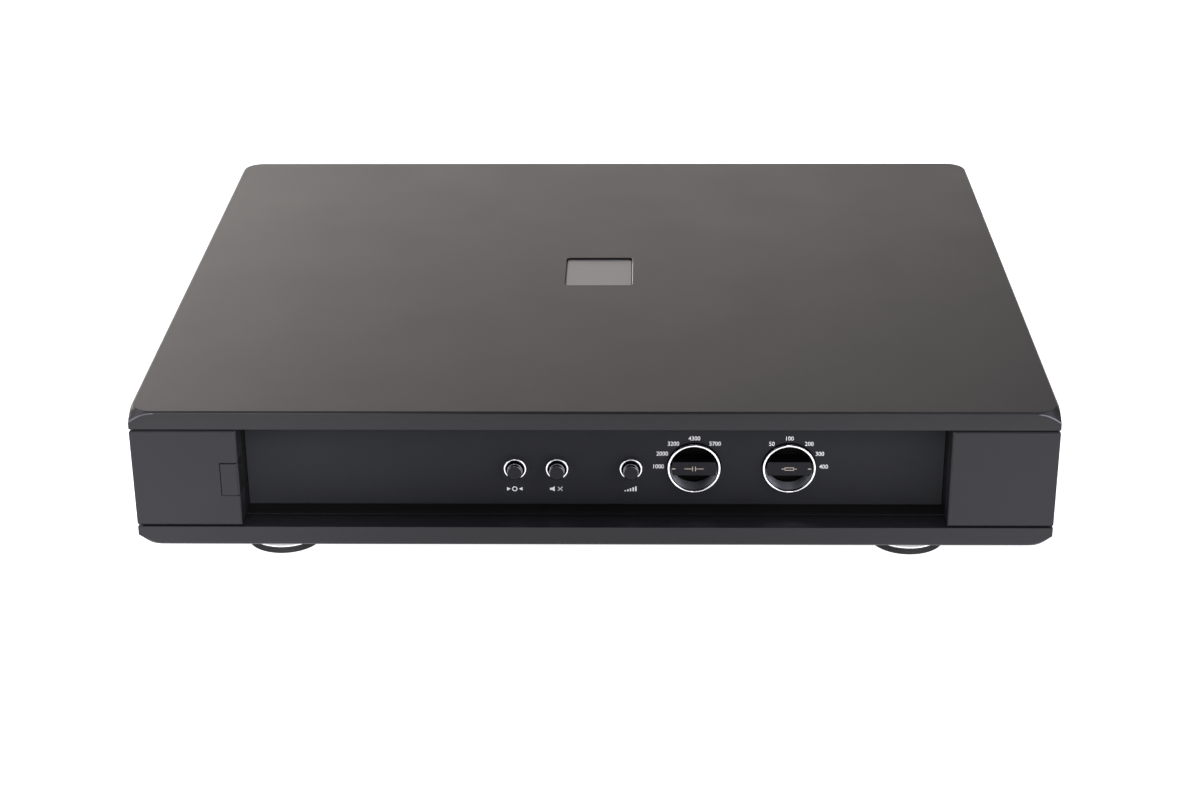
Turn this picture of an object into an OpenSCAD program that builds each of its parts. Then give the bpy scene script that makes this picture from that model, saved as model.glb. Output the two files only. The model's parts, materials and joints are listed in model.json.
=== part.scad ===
/* [Case] */
// Width of the case
case_w = 433; // [400:1:500]
// Depth of the case, front face to rear edge
case_d = 361; // [320:1:440]
// Thickness of the top cover at its edge
cover_h = 9; // [8:0.1:12]
// Height of the middle section between cover and base
mid_h = 49.2; // [47:0.1:60]
// Thickness of the base at its edge
base_h = 9.7; // [9:0.1:12]
// Height of the shadow grooves above and below the middle section
groove_h = 0.8; // [0.5:0.1:1.5]
// How far the shadow grooves reach in
groove_in = 2; // [1:0.1:3]
// Width of the bevel round the top of the cover and the underside of the base
edge_bevel = 0.9; // [0.5:0.1:1.2]
// Plan radius where the bevel turns the corners
corner_r = 10; // [6:0.5:11]
// Skin left over the pocket of the cover
cover_skin = 3.5; // [3:0.1:5]
// Floor left under the pocket of the base
base_floor = 3; // [2:0.1:5]
// Solid rim of cover and base at the front
front_rim = 32; // [30:0.5:33]
// Solid rim of cover and base at the sides
side_rim = 14; // [13:0.5:16]
// Solid rim of cover and base at the rear
rear_rim = 12; // [10:0.5:14]

/* [Side frames] */
// Width of the block at the front of each frame
block_w = 49.8; // [40:0.1:55]
// Thickness of the block's front wall
block_front = 5; // [4:0.1:8]
// Thickness of the block's inner return
block_return = 4; // [3:0.1:6]
// Thickness of the side wall
side_wall = 4; // [3:0.1:5]
// Small bevel along the edges of the frames
frame_bevel = 0.7; // [0.3:0.1:1]
// Width of the flange that carries the rear panel
rear_flange_w = 12; // [10:0.5:16]
// Thickness of that flange
rear_flange_t = 4; // [3:0.1:6]
// Radius of the posts that the cover screws pass through
post_r = 5; // [4:0.1:5.5]
// Distance of the posts from the side of the case
post_in = 8; // [7:0.1:8.5]
// Distance of the outer posts from the front and the rear edge
post_end = 20; // [18:1:24]

/* [Front recess] */
// Distance of the surround's front edge behind the front face
surround_front = 12.5; // [10:0.1:16]
// Gap between the front blocks and the surround behind them
surround_gap = 0.3; // [0.2:0.1:0.6]
// Sheet thickness of the surround
surround_t = 0.8; // [0.6:0.1:1.2]
// Width of the surround's lip behind the fascia
surround_lip = 6; // [3:0.1:8]
// Distance of the fascia behind the front face
fascia_in = 22.7; // [20:0.1:24]
// Thickness of the fascia
fascia_t = 3; // [2:0.1:4]
// Gap round the fascia
fascia_gap = 0.15; // [0.1:0.05:0.3]

/* [Badge] */
// Width of the plate in the cover
badge_w = 34.8; // [20:0.1:60]
// Depth of the plate in the cover, front to back
badge_d = 39.4; // [20:0.1:60]
// Thickness of the plate
badge_t = 1; // [0.6:0.1:1.4]
// Depth of its recess
badge_recess = 1.3; // [1:0.1:2]
// Gap round the plate
badge_gap = 0.4; // [0.2:0.1:0.6]
// Corner radius of the plate
badge_r = 1.8; // [1:0.1:4]

/* [Feet] */
// Height of the feet, which is the gap below the base
foot_h = 10; // [8:0.5:20]
// Radius of a foot
foot_r = 18; // [14:0.5:22]
// Height of its ribbed ring
foot_ring_h = 3.2; // [3:0.1:4]
// Radius of its neck
foot_neck_r = 12; // [8:0.5:13]
// Thickness of the disc on top of the ring
foot_disc_t = 0.8; // [0.5:0.1:1.2]
// Distance of the feet from the side of the case
foot_in = 65.5; // [46.5:0.5:96.5]
// Distance of the feet from the front and the rear edge
foot_end = 28; // [22:1:28]

/* [Dials] */
// Height of the control axes above the underside of the base
controls_z = 30.2; // [26:0.1:36]
// Place of the capacitance dial, from the middle of the case
capacitance_x = 47.5; // [46:0.1:56]
// Place of the load dial, from the middle of the case
load_x = 92.9; // [88:0.1:99]
// Outer diameter of a dial
dial_d = 25.5; // [20:0.1:31]
// Width of its bright rim
dial_rim_w = 1.2; // [1:0.1:2]
// Thickness of the bright rim
dial_rim_t = 1.5; // [1:0.1:2]
// How far the rim stands proud of the fascia
dial_proud = 2; // [1:0.1:3]
// Depth of the finger pockets, from the face of the rim
pocket_depth = 9.9; // [8:0.1:11]
// Height of the finger bar
bar_h = 7.2; // [7:0.1:9]
// Gap between the ends of the finger bar and the bright rim
bar_end_gap = 0.75; // [0.4:0.05:3]
// How far the face of the bar lies behind the face of the rim
bar_back = 0.5; // [0.2:0.1:1]
// Thickness of the dial behind its pockets
dial_floor = 3; // [2:0.1:4]
// Gap between a dial and the fascia
dial_gap = 0.35; // [0.3:0.05:0.6]
// Radius of the spindle
spindle_r = 3; // [2.5:0.05:4]

/* [Push buttons] */
// Place of the mono button, from the middle of the case
mono_x = -38; // [-42:0.1:-34]
// Place of the mute button, from the middle of the case
mute_x = -17.9; // [-22:0.1:-16]
// Place of the gain button, from the middle of the case
gain_x = 17.4; // [10:0.1:20]
// Diameter of a button
button_d = 7.5; // [6:0.1:9]
// Gap between a button and the bore of its bezel
button_gap = 0.75; // [0.3:0.05:1]
// Width of the bezel's bright ring
bezel_w = 1; // [0.7:0.1:2]
// How far a bezel stands proud of the fascia
bezel_proud = 2.5; // [1:0.1:3]
// Wall of the bezel's sleeve, where it passes the fascia
bezel_sleeve_wall = 0.5; // [0.4:0.05:0.7]
// How far a button stands proud of its bezel
button_proud = 4.2; // [3:0.1:5]
// Side of a push switch
switch_side = 9; // [8:0.1:12]

/* [Power button] */
// Width of the power button
power_w = 8.4; // [6:0.1:10]
// Height of the power button
power_h = 16.5; // [12:0.1:20]
// Space left behind the power button when it is pressed
power_end_gap = 0.8; // [0.3:0.1:2]
// Height of its centre above the underside of the base
power_z = 34.65; // [30:0.05:38]
// Gap round the button
power_gap = 0.35; // [0.3:0.05:0.6]
// Bevel of its free edge
power_bevel = 1.1; // [0.5:0.1:1.5]
// Radius of the push rod
rod_r = 2; // [1.5:0.1:2.5]

/* [Rear panel] */
// Thickness of the rear panel
panel_t = 3; // [2:0.1:4]
// How far the rear panel lies in from the rear edge
panel_in = 2; // [1:0.1:4]
// Radius of the sleeve of a phono socket
sleeve_r = 4.15; // [4.1:0.01:4.2]
// Length of the sleeve of a phono socket
sleeve_l = 9; // [8:0.1:12]
// Distance between the two sockets of a phono pair
phono_pitch = 24; // [16:1:28]
// Place of the first phono input, from the middle of the case
phono_input_x = 78; // [66:1:80]
// Place of the first phono output, from the middle of the case
phono_output_x = -12; // [-20:1:0]
// Distance between the two sockets of a balanced pair
balanced_pitch = 38; // [36:0.5:44]
// Distance of the outer balanced input from the side of the case
balanced_input_in = 38.5; // [36:0.5:40]
// Place of the first balanced output, from the middle of the case
balanced_output_x = -92; // [-96:1:-84]
// Place of the earth post
earth_x = 45; // [35:1:55]
// Distance of the mains inlet from the side of the case
inlet_in = 56.5; // [48.5:0.5:66.5]

/* [Inside] */
// Outer radius of the transformer
transformer_r = 40; // [30:1:45]
// Height of the transformer
transformer_h = 35; // [25:1:40]
// Radius of the transformer's bore
transformer_bore = 14; // [12:0.5:18]
// Height of the pillars under the main board
pillar_h = 8; // [5:0.5:12]
// Thickness of the circuit boards
board_t = 1.6; // [1:0.1:2]

/* [Hidden] */

$fn = 64;

// Cutters reach past the faces they cut by this much
past = 1;
// Radial clearance of a part that is fixed in its hole
fixed_gap = 0.03;
// Radial clearance of a part that turns or slides in its hole
running_gap = 0.05;
// Radial clearance of a screw in the piece that it holds down
screw_gap = 0.2;
// Clearance round a screw head that lies in a recess
head_gap = 0.3;
// Space left beyond the end of a screw
screw_end_gap = 0.5;

// Rear connectors
socket_flange_r = 6;
socket_flange_t = 2;
socket_body_r = 4.7;
socket_body_l = 10;
// How far the connectors stand out behind the case
rear_reach = socket_flange_t + sleeve_l - panel_in;

// Heights above the surface that the feet stand on
base_z = foot_h;
base_top = base_z + base_h;
mid_z = base_top + groove_h;
mid_top = mid_z + mid_h;
cover_z = mid_top + groove_h;
top_z = cover_z + cover_h;
floor_z = base_z + base_floor;
control_axis_z = base_z + controls_z;
connector_z = mid_z + mid_h / 2;

// Half widths and places from front to back
half_w = case_w / 2;
foot_x = half_w - foot_in;
recess_half = half_w - block_w;
block_depth = surround_front - surround_gap;
front_y = -(case_d + rear_reach) / 2;
case_mid_y = front_y + case_d / 2;
panel_back = case_d - panel_in;
panel_front = panel_back - panel_t;

// Places of the rear sockets
input_xs = [phono_input_x, phono_input_x + phono_pitch];
output_xs = [phono_output_x, phono_output_x + phono_pitch];
balanced_input_xs = [half_w - balanced_input_in - balanced_pitch, half_w - balanced_input_in];
balanced_output_xs = [balanced_output_x, balanced_output_x + balanced_pitch];
inlet_x = -(half_w - inlet_in);

// Cover screws, one pair of posts at each end and one in the middle
post_x = half_w - post_in;
post_ds = [post_end, case_d / 2, case_d - post_end];
cover_screw_r = 2;
cover_screw_head_r = 3.6;
cover_screw_head_h = 2.6;
cover_thread = 6;

// Feet
foot_ds = [foot_end, case_d - foot_end];
foot_screw_r = 2;
foot_screw_head_r = 4;
foot_screw_head_h = 2;
foot_screw_recess = 3;
foot_thread = 7.5;
foot_boss_r = 7;
rib_pitch = 0.8;
rib_depth = 0.35;
rib_half = 0.2;
foot_disc_in = 0.4;

// Dials and their switches, measured behind the face of the fascia
bar_l = dial_d - 2 * (dial_rim_w + bar_end_gap);
pocket_floor = pocket_depth - dial_proud;
dial_back = pocket_floor + dial_floor;
dial_boss_r = spindle_r + 3;
dial_boss_l = 5;
spindle_front = 3;
spindle_back = 31;
spindle_flat = 0.8;
spindle_end_gap = 0.1;
flat_l = dial_back + dial_boss_l - spindle_front;
bracket_in = 20;
bracket_t = 1.5;
bush_r = spindle_r + 1.5;
bush_l = 2.6;
nut_t = 2.4;
nut_r = bush_r + 3;
rotary_r = 13;
rotary_l = 12;
rotary_tags = 10;
tag = [1, 2, 4];
tag_in = 3;

// Push buttons and their switches, measured behind the face of the fascia
bezel_bore = button_d + 2 * button_gap;
bezel_d = bezel_bore + 2 * bezel_w;
bezel_sleeve_r = bezel_bore / 2 + bezel_sleeve_wall;
button_back = 1;
bezel_sleeve_past = 1.5;
stem_r = 1.5;
stem_back = 13;
switch_l = 10;
button_travel = 2;
board_in = bracket_in - board_t;
switch_front = board_in - switch_l;
button_wire_r = 0.25;
button_spring_r = 2.3;
spring_seat_gap = 0.05;
spring_turns = 5;

// Power button, measured behind the front face
power_travel = 2.5;
power_d = surround_front - power_travel - power_end_gap;
power_back = 20;
stem_w = 2 * rod_r + 1;
stem_h = 8;
rod_aside = 0.4;
rod_x = -(recess_half + power_w / 2 + rod_aside);
rod_front = power_d + 1.8;
rod_back = 47;
rod_bore_back = rod_back + power_travel + 1;
mains_plate_in = front_rim + 2;
mains_switch_in = mains_plate_in + bracket_t;
mains_switch_w = 16;
mains_switch_h = 20;
mains_switch_l = 22;
power_wire_r = 0.35;
power_spring_r = rod_r + 1;
power_axis_z = base_z + power_z;
power_top_bevel = 0.4;
rod_gap = 0.35;

// Sheet metal brackets stand on the floor of the base on a bent foot
bracket_foot = 11;
bracket_left = -60;
bracket_right = load_x + 22;
bracket_top_gap = 6;

// Balanced sockets, measured from the outer face of the rear panel
shell_w = 26;
shell_h = 31;
shell_flange_t = 3.5;
shell_r = 11.8;
shell_back = 20;
shell_gap = 0.2;
shell_corner_r = 2;
insert_r = 7.8;
mouth_r = 9.7;
mouth_depth = 14;
contact_ring = 5.7;
contact_hole_r = 1.25;
contact_pin_r = 1.2;
pin_recess = 1;
shell_screw_x = 9.5;
shell_screw_z = 12;
latch_w = 8;
latch_h = 3;
latch_z = 12.4;
latch_gap = 0.3;
latch_front = 2;
latch_proud = 2.3;

// Mains inlet and fuse, measured from the outer face of the rear panel
inlet_flange = [48, 38, 2.5];
inlet_body = [27, 33, 24];
inlet_mouth = [24.6, 16.8];
inlet_mouth_z = 6;
inlet_chamfer = 4.5;
inlet_depth = 14.5;
inlet_screw_x = 20;
blade = [2, 4];
blade_x = 7;
blade_z = 2;
blade_recess = 2;
drawer_z = -9.8;
drawer_w = 22.8;
drawer_h = 7.8;
drawer_back = 12.5;
drawer_gap = 0.3;
drawer_lip = [25, 9.4, 1.6];
fuse_r = 2.6;
fuse_l = 20;
fuse_in = 8;

// Earth post, measured from the outer face of the rear panel
earth_flange_r = 5.5;
earth_stud_r = 2;
earth_stud_l = 10.5;
earth_body_r = 2.9;
earth_nut_r = 5.5;
earth_nut_l = 6;
earth_nut_front = 2.4;
earth_flutes = 18;

// Small machine screws
screw_r = 1.5;
screw_head_r = 2.8;
screw_head_h = 1.8;
panel_screw_l = 6;
panel_screw_x = half_w - rear_flange_w / 2 - 1;
panel_screw_zs = [mid_z + 8, mid_top - 8];
connector_screw_l = 7;
board_screw_r = 1.25;
board_screw_head_r = 2.4;
board_screw_head_h = 1.6;

// Transformer
transformer_side_gap = 14.5;
transformer_x = -(half_w - side_rim - transformer_side_gap - transformer_r);
transformer_d = case_d - 108;
transformer_round = 8;
transformer_plate_r = 30;
transformer_plate_t = 2;
transformer_boss_r = 8;
transformer_boss_h = 15;
transformer_bolt_r = 3;
transformer_bolt_head_r = 5.8;
transformer_bolt_head_h = 4;
transformer_thread = 10;
transformer_top = floor_z + transformer_h;

// Main board and what stands on it
board_left = transformer_x + transformer_r + 13;
board_right = half_w - side_rim - 10;
board_front = 64;
board_rear = case_d - 36;
board_z = floor_z + pillar_h;
board_top = board_z + board_t;
board_edge = 6;
pillar_r = 3.5;
pillar_xs = [board_left + board_edge, (board_left + board_right) / 2, board_right - board_edge];
pillar_ds = [board_front + board_edge, (board_front + board_rear) / 2, board_rear - board_edge];
can_r = 11;
can_h = 30;
can_xs = [board_left + 23, board_left + 51];
can_ds = [board_rear - 100, board_rear - 72, board_rear - 44];
film_box = [26, 11, 20];
film_aside = 28.75;
film_pitch = 40;
film_xs = [for (i = [0 : 3]) pillar_xs[1] - film_aside + i * film_pitch];
film_ds = [board_front + 50, board_front + 130];

// Control board, behind the three push buttons
control_left = mono_x - 14;
control_right = gain_x + 13;
control_low = control_axis_z - 15;
control_high = control_axis_z + 17;
control_screw_edge = 3.5;

// Mains wiring
wire_r = 2.5;
wire_lane_x = -(half_w - side_rim - 6);
wire_low_z = floor_z + 8;

// A length measured from the front face, as a place along Y
function at(d) = front_y + d;

// A length measured behind the face of the fascia, as a place along Y
function behind(d) = front_y + fascia_in + d;

// A length measured out from the rear panel, as a place along Y
function outside(d) = front_y + panel_back + d;

// A bar that cuts a bevel of width b along an edge on the X axis
module bevel_bar(l, b) {
    rotate([90, 0, 90]) linear_extrude(l, center = true) polygon([[b, 0], [0, b], [-b, 0], [0, -b]]);
}

// Turns +Z to +Y and puts the origin at a point
module facing_back(x, y, z) {
    translate([x, y, z]) rotate([-90, 0, 0]) children();
}

// A plate with rounded corners, centred in X and Y, standing on Z = 0
module rounded_plate(w, d, h, r) {
    translate([-w / 2 + r, -d / 2, 0]) cube([w - 2 * r, d, h]);
    translate([-w / 2, -d / 2 + r, 0]) cube([w, d - 2 * r, h]);
    for (x = [-1, 1], y = [-1, 1])
        translate([x * (w / 2 - r), y * (d / 2 - r), 0]) cylinder(r = r, h = h);
}

// A pan head machine screw that points down, with the seat of its head at Z = 0
module screw(r, l, head_r, head_h) {
    translate([0, 0, -l]) cylinder(r = r, h = l + head_h / 2);
    cylinder(r = head_r, h = head_h);
}

// A slab with straight edges, a bevel round its top, and cones of the same slope at the corners
module bevelled_slab(h) {
    corner = corner_r + edge_bevel;
    difference() {
        translate([-half_w, -case_d / 2, 0]) cube([case_w, case_d, h]);
        for (y = [-1, 1])
            translate([0, y * case_d / 2, h]) bevel_bar(case_w - 2 * corner, edge_bevel);
        for (x = [-1, 1])
            translate([x * half_w, 0, h]) rotate([0, 0, 90]) bevel_bar(case_d - 2 * corner, edge_bevel);
        for (x = [0, 1], y = [0, 1])
            mirror([x, 0, 0]) mirror([0, y, 0])
                translate([half_w - corner, case_d / 2 - corner, h - corner]) difference() {
                    cube([corner + past, corner + past, corner + past]);
                    cylinder(r1 = corner_r + corner, r2 = corner_r - past, h = corner + past);
                }
    }
}

// The raised land that leaves the shadow groove, under the frames and the rear panel
module land(z) {
    for (x = [0, 1])
        mirror([x, 0, 0]) {
            translate([half_w - side_rim, at(groove_in), z])
                cube([side_rim - groove_in, case_d - 2 * groove_in, groove_h]);
            translate([recess_half + groove_in, at(groove_in), z])
                cube([block_w - 2 * groove_in, front_rim - groove_in, groove_h]);
        }
    translate([-half_w + groove_in, at(case_d - rear_rim), z])
        cube([case_w - 2 * groove_in, rear_rim - groove_in, groove_h]);
}

// The space inside the rims, from one height to another
module pocket(z0, z1) {
    translate([-half_w + side_rim, at(front_rim), z0])
        cube([case_w - 2 * side_rim, case_d - front_rim - rear_rim, z1 - z0]);
}

module at_posts() {
    for (x = [-1, 1], d = post_ds) translate([x * post_x, at(d), 0]) children();
}

module at_feet() {
    for (x = [-1, 1], d = foot_ds) translate([x * foot_x, at(d), 0]) children();
}

module top_cover() {
    color("#4c4a49") difference() {
        union() {
            translate([0, case_mid_y, cover_z]) bevelled_slab(cover_h);
            land(mid_top);
        }
        pocket(mid_top - past, top_z - cover_skin);
        translate([0, case_mid_y, top_z - badge_recess])
            rounded_plate(
                badge_w + 2 * badge_gap, badge_d + 2 * badge_gap, badge_recess + past, badge_r + badge_gap
            );
        at_posts() translate([0, 0, mid_top - past])
            cylinder(r = cover_screw_r + fixed_gap, h = cover_thread + screw_end_gap + past);
    }
}

module badge_plate() {
    color("#8d8e90") translate([0, case_mid_y, top_z - badge_recess])
        rounded_plate(badge_w, badge_d, badge_t, badge_r);
}

module base() {
    color("#454548") difference() {
        union() {
            difference() {
                union() {
                    translate([0, case_mid_y, base_top]) mirror([0, 0, 1]) bevelled_slab(base_h);
                    land(base_top);
                }
                pocket(floor_z, mid_z + past);
            }
            at_feet() translate([0, 0, floor_z]) cylinder(r = foot_boss_r, h = base_top - floor_z);
            translate([transformer_x, at(transformer_d), floor_z])
                cylinder(r = transformer_boss_r, h = transformer_boss_h);
        }
        at_posts() {
            translate([0, 0, base_z - past])
                cylinder(r = cover_screw_r + screw_gap, h = base_h + groove_h + 2 * past);
            translate([0, 0, base_z - past])
                cylinder(r = cover_screw_head_r + head_gap, h = cover_screw_head_h + head_gap + past);
        }
        at_feet() translate([0, 0, base_z - past])
            cylinder(r = foot_screw_r + fixed_gap, h = foot_thread + screw_end_gap + past);
        translate([transformer_x, at(transformer_d), floor_z + transformer_boss_h - transformer_thread])
            cylinder(r = transformer_bolt_r + fixed_gap, h = transformer_thread + past);
    }
}

// The frame on the right-hand side: front block, side wall, posts and rear flange
module side_frame() {
    difference() {
        union() {
            translate([recess_half, front_y, mid_z]) cube([block_w, block_front, mid_h]);
            translate([recess_half, front_y, mid_z]) cube([block_return, block_depth, mid_h]);
            translate([half_w - side_wall, front_y, mid_z]) cube([side_wall, case_d, mid_h]);
            translate([half_w - rear_flange_w, at(panel_front - rear_flange_t), mid_z])
                cube([rear_flange_w, rear_flange_t, mid_h]);
            for (d = post_ds) translate([post_x, at(d), mid_z]) cylinder(r = post_r, h = mid_h);
        }
        for (d = post_ds)
            translate([post_x, at(d), mid_z - past])
                cylinder(r = cover_screw_r + screw_gap, h = mid_h + 2 * past);
        for (z = [mid_z, mid_top]) {
            translate([recess_half + block_w / 2, front_y, z]) bevel_bar(block_w + 2 * past, frame_bevel);
            translate([half_w, case_mid_y, z]) rotate([0, 0, 90]) bevel_bar(case_d + 2 * past, frame_bevel);
        }
        translate([recess_half, front_y, mid_z + mid_h / 2])
            rotate([0, 90, 0]) bevel_bar(mid_h + 2 * past, frame_bevel);
        for (z = panel_screw_zs)
            facing_back(panel_screw_x, at(panel_front - rear_flange_t) - past, z)
                cylinder(r = screw_r + fixed_gap, h = rear_flange_t + 2 * past);
    }
}

module right_side_frame() {
    color("#444447") side_frame();
}

module left_side_frame() {
    low = power_axis_z - power_h / 2 - power_gap;
    color("#48484b") difference() {
        mirror([1, 0, 0]) side_frame();
        translate([-recess_half - power_w - power_gap, front_y - past, low])
            cube([power_w + power_gap + past, block_depth + 2 * past, power_h + 2 * power_gap]);
    }
}

module recess_surround() {
    outer_w = 2 * (recess_half + surround_t);
    outer_h = mid_h + 2 * groove_h;
    depth = fascia_in + fascia_t + surround_t - surround_front;
    color("#0c0c0d") translate([0, at(surround_front), base_top]) difference() {
        translate([-outer_w / 2, 0, 0]) cube([outer_w, depth, outer_h]);
        translate([-recess_half, -past, surround_t])
            cube([2 * recess_half, depth - surround_t + past, outer_h - 2 * surround_t]);
        translate([-recess_half + surround_lip, 0, surround_t + surround_lip])
            cube([2 * (recess_half - surround_lip), depth + past, outer_h - 2 * (surround_t + surround_lip)]);
        for (x = [capacitance_x, load_x])
            facing_back(x, depth - surround_t - past, control_axis_z - base_top)
                cylinder(r = dial_d / 2 + dial_gap, h = surround_t + 2 * past);
    }
}

module fascia_panel() {
    low = base_top + surround_t + fascia_gap;
    high = cover_z - surround_t - fascia_gap;
    color("#2b2b2e") difference() {
        translate([-recess_half + fascia_gap, behind(0), low])
            cube([2 * (recess_half - fascia_gap), fascia_t, high - low]);
        for (x = [capacitance_x, load_x])
            facing_back(x, behind(-past), control_axis_z)
                cylinder(r = dial_d / 2 + dial_gap, h = fascia_t + 2 * past);
        for (x = [mono_x, mute_x, gain_x])
            facing_back(x, behind(-past), control_axis_z)
                cylinder(r = bezel_sleeve_r + fixed_gap, h = fascia_t + 2 * past);
    }
}

// A sheet that stands on the floor of the base, with a foot bent to the back
module standing_bracket(x0, x1, y, top) {
    translate([x0, y, floor_z]) cube([x1 - x0, bracket_t, top - floor_z]);
    translate([x0, y, floor_z]) cube([x1 - x0, bracket_t + bracket_foot, bracket_t]);
}

module at_control_screws() {
    for (x = [control_left + control_screw_edge, control_right - control_screw_edge])
        for (z = [control_low + control_screw_edge, control_high - control_screw_edge])
            facing_back(x, behind(board_in), z) children();
}

module switch_bracket() {
    color("#9a9c9f") difference() {
        standing_bracket(bracket_left, bracket_right, behind(bracket_in), cover_z - bracket_top_gap);
        for (x = [capacitance_x, load_x])
            facing_back(x, behind(bracket_in - past), control_axis_z)
                cylinder(r = bush_r + running_gap, h = bracket_t + 2 * past);
        at_control_screws() cylinder(r = board_screw_r + fixed_gap, h = board_t + bracket_t + past);
    }
}

// Screw holes of a flange on the rear panel, as pairs of X and Z from its middle
module at_shell_screws(x) {
    for (s = [-1, 1])
        facing_back(x + s * shell_screw_x, outside(0), connector_z - s * shell_screw_z) children();
}

module at_inlet_screws() {
    for (s = [-1, 1]) facing_back(inlet_x + s * inlet_screw_x, outside(0), connector_z) children();
}

module at_panel_screws() {
    for (x = [-1, 1], z = panel_screw_zs)
        facing_back(x * panel_screw_x, outside(0), z) children();
}

module rear_panel() {
    hole_l = panel_t + 2 * past;
    side_gap = 0.2;
    color("#333436") difference() {
        translate([-half_w + side_wall + side_gap, at(panel_front), mid_z])
            cube([case_w - 2 * (side_wall + side_gap), panel_t, mid_h]);
        for (x = concat(balanced_input_xs, balanced_output_xs))
            facing_back(x, at(panel_front) - past, connector_z) cylinder(r = shell_r + shell_gap, h = hole_l);
        for (x = concat(input_xs, output_xs))
            facing_back(x, at(panel_front) - past, connector_z)
                cylinder(r = socket_body_r + fixed_gap, h = hole_l);
        facing_back(earth_x, at(panel_front) - past, connector_z)
            cylinder(r = earth_body_r + fixed_gap, h = hole_l);
        translate([inlet_x - inlet_body.x / 2 - shell_gap, at(panel_front) - past,
                   connector_z - inlet_body.y / 2 - shell_gap])
            cube([inlet_body.x + 2 * shell_gap, hole_l, inlet_body.y + 2 * shell_gap]);
        for (x = concat(balanced_input_xs, balanced_output_xs))
            at_shell_screws(x) translate([0, 0, -hole_l]) cylinder(r = screw_r + fixed_gap, h = 2 * hole_l);
        at_inlet_screws() translate([0, 0, -hole_l]) cylinder(r = screw_r + fixed_gap, h = 2 * hole_l);
        at_panel_screws() translate([0, 0, -hole_l]) cylinder(r = screw_r + screw_gap, h = 2 * hole_l);
    }
}

// Grooves in the side of the ribbed ring, from its lower to its upper edge
function rib_outline() = [
    for (z = [rib_pitch : rib_pitch : foot_ring_h - rib_pitch / 2])
        for (p = [[0, -rib_half], [-rib_depth, 0], [0, rib_half]]) [foot_r + p.x, z + p.y]
];

module feet() {
    soften = 0.3;
    outline = concat(
        [[foot_screw_head_r + head_gap, 0], [foot_r - soften, 0], [foot_r, soften]],
        rib_outline(),
        [[foot_r, foot_ring_h], [foot_neck_r, foot_ring_h], [foot_neck_r, foot_h]],
        [[foot_screw_r + screw_gap, foot_h], [foot_screw_r + screw_gap, foot_screw_recess]],
        [[foot_screw_head_r + head_gap, foot_screw_recess]]
    );
    color("#1c1c1e") at_feet() rotate_extrude() polygon(outline);
}

module foot_discs() {
    color("#e9e9ea") at_feet() translate([0, 0, foot_ring_h]) difference() {
        cylinder(r = foot_r - foot_disc_in, h = foot_disc_t);
        translate([0, 0, -past]) cylinder(r = foot_neck_r + fixed_gap, h = foot_disc_t + 2 * past);
    }
}

module foot_screws() {
    color("#b9babc") at_feet() translate([0, 0, foot_screw_recess]) mirror([0, 0, 1])
        screw(foot_screw_r, foot_h - foot_screw_recess + foot_thread, foot_screw_head_r, foot_screw_head_h);
}

module cover_screws() {
    seat = base_z + cover_screw_head_h + head_gap;
    color("#2a2a2c") at_posts() translate([0, 0, seat]) mirror([0, 0, 1])
        screw(cover_screw_r, mid_top + cover_thread - seat, cover_screw_head_r, cover_screw_head_h);
}

module rear_panel_screws() {
    color("#2a2a2c") at_panel_screws() screw(screw_r, panel_screw_l, screw_head_r, screw_head_h);
}

module connector_screws() {
    color("#2a2a2c") {
        for (x = concat(balanced_input_xs, balanced_output_xs))
            at_shell_screws(x) translate([0, 0, shell_flange_t])
                screw(screw_r, connector_screw_l, screw_head_r, screw_head_h);
        at_inlet_screws() translate([0, 0, inlet_flange.z])
            screw(screw_r, connector_screw_l, screw_head_r, screw_head_h);
    }
}

module at_pillars() {
    for (x = pillar_xs, d = pillar_ds) translate([x, at(d), 0]) children();
}

module board_screws() {
    color("#b9babc") {
        at_pillars() translate([0, 0, board_top])
            screw(board_screw_r, pillar_h / 2 + board_t, board_screw_head_r, board_screw_head_h);
        at_control_screws() mirror([0, 0, 1])
            screw(board_screw_r, board_t + bracket_t, board_screw_head_r, board_screw_head_h);
    }
}

module power_button() {
    low = power_axis_z - power_h / 2;
    left = -recess_half - power_w;
    color("#4a4a4d") difference() {
        union() {
            translate([left, front_y, low]) cube([power_w, power_d, power_h]);
            translate([rod_x - stem_w / 2, at(power_d) - past, power_axis_z - stem_h / 2])
                cube([stem_w, power_back - power_d + past, stem_h]);
        }
        translate([-recess_half, front_y, power_axis_z]) rotate([0, 90, 0])
            bevel_bar(power_h + 2 * past, power_bevel);
        translate([-recess_half - power_w / 2, front_y, power_axis_z + power_h / 2])
            bevel_bar(power_w + 2 * past, power_top_bevel);
        facing_back(rod_x, at(rod_front), power_axis_z) cylinder(r = rod_r + fixed_gap, h = power_back);
    }
}

module power_push_rod() {
    color("#c4c5c7") facing_back(rod_x, at(rod_front), power_axis_z)
        cylinder(r = rod_r, h = rod_back - rod_front);
}

function unit(v) = v / norm(v);

// Direction of a path at one of its points
function heading(path, i) =
    unit(path[min(i + 1, len(path) - 1)] - path[max(i - 1, 0)]);

// One ring of points round a path
function ring(path, i, r, sides) =
    let (t = heading(path, i), u = unit(cross(t, [0, 0, 1])), v = cross(u, t))
    [for (k = [0 : sides - 1]) path[i] + r * (cos(360 * k / sides) * u + sin(360 * k / sides) * v)];

// A round wire along a path that never runs straight up
module swept(path, r, sides = 8) {
    steps = len(path) - 1;
    points = [for (i = [0 : steps]) each ring(path, i, r, sides)];
    walls = [
        for (i = [0 : steps - 1], k = [0 : sides - 1])
            let (a = i * sides, b = a + sides, n = (k + 1) % sides)
            each [[a + k, b + n, a + n], [a + k, b + k, b + n]]
    ];
    first = [for (k = [1 : sides - 2]) [0, k, k + 1]];
    last = [for (k = [1 : sides - 2]) [steps * sides, steps * sides + k + 1, steps * sides + k]];
    polyhedron(points, concat(walls, first, last));
}

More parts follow.
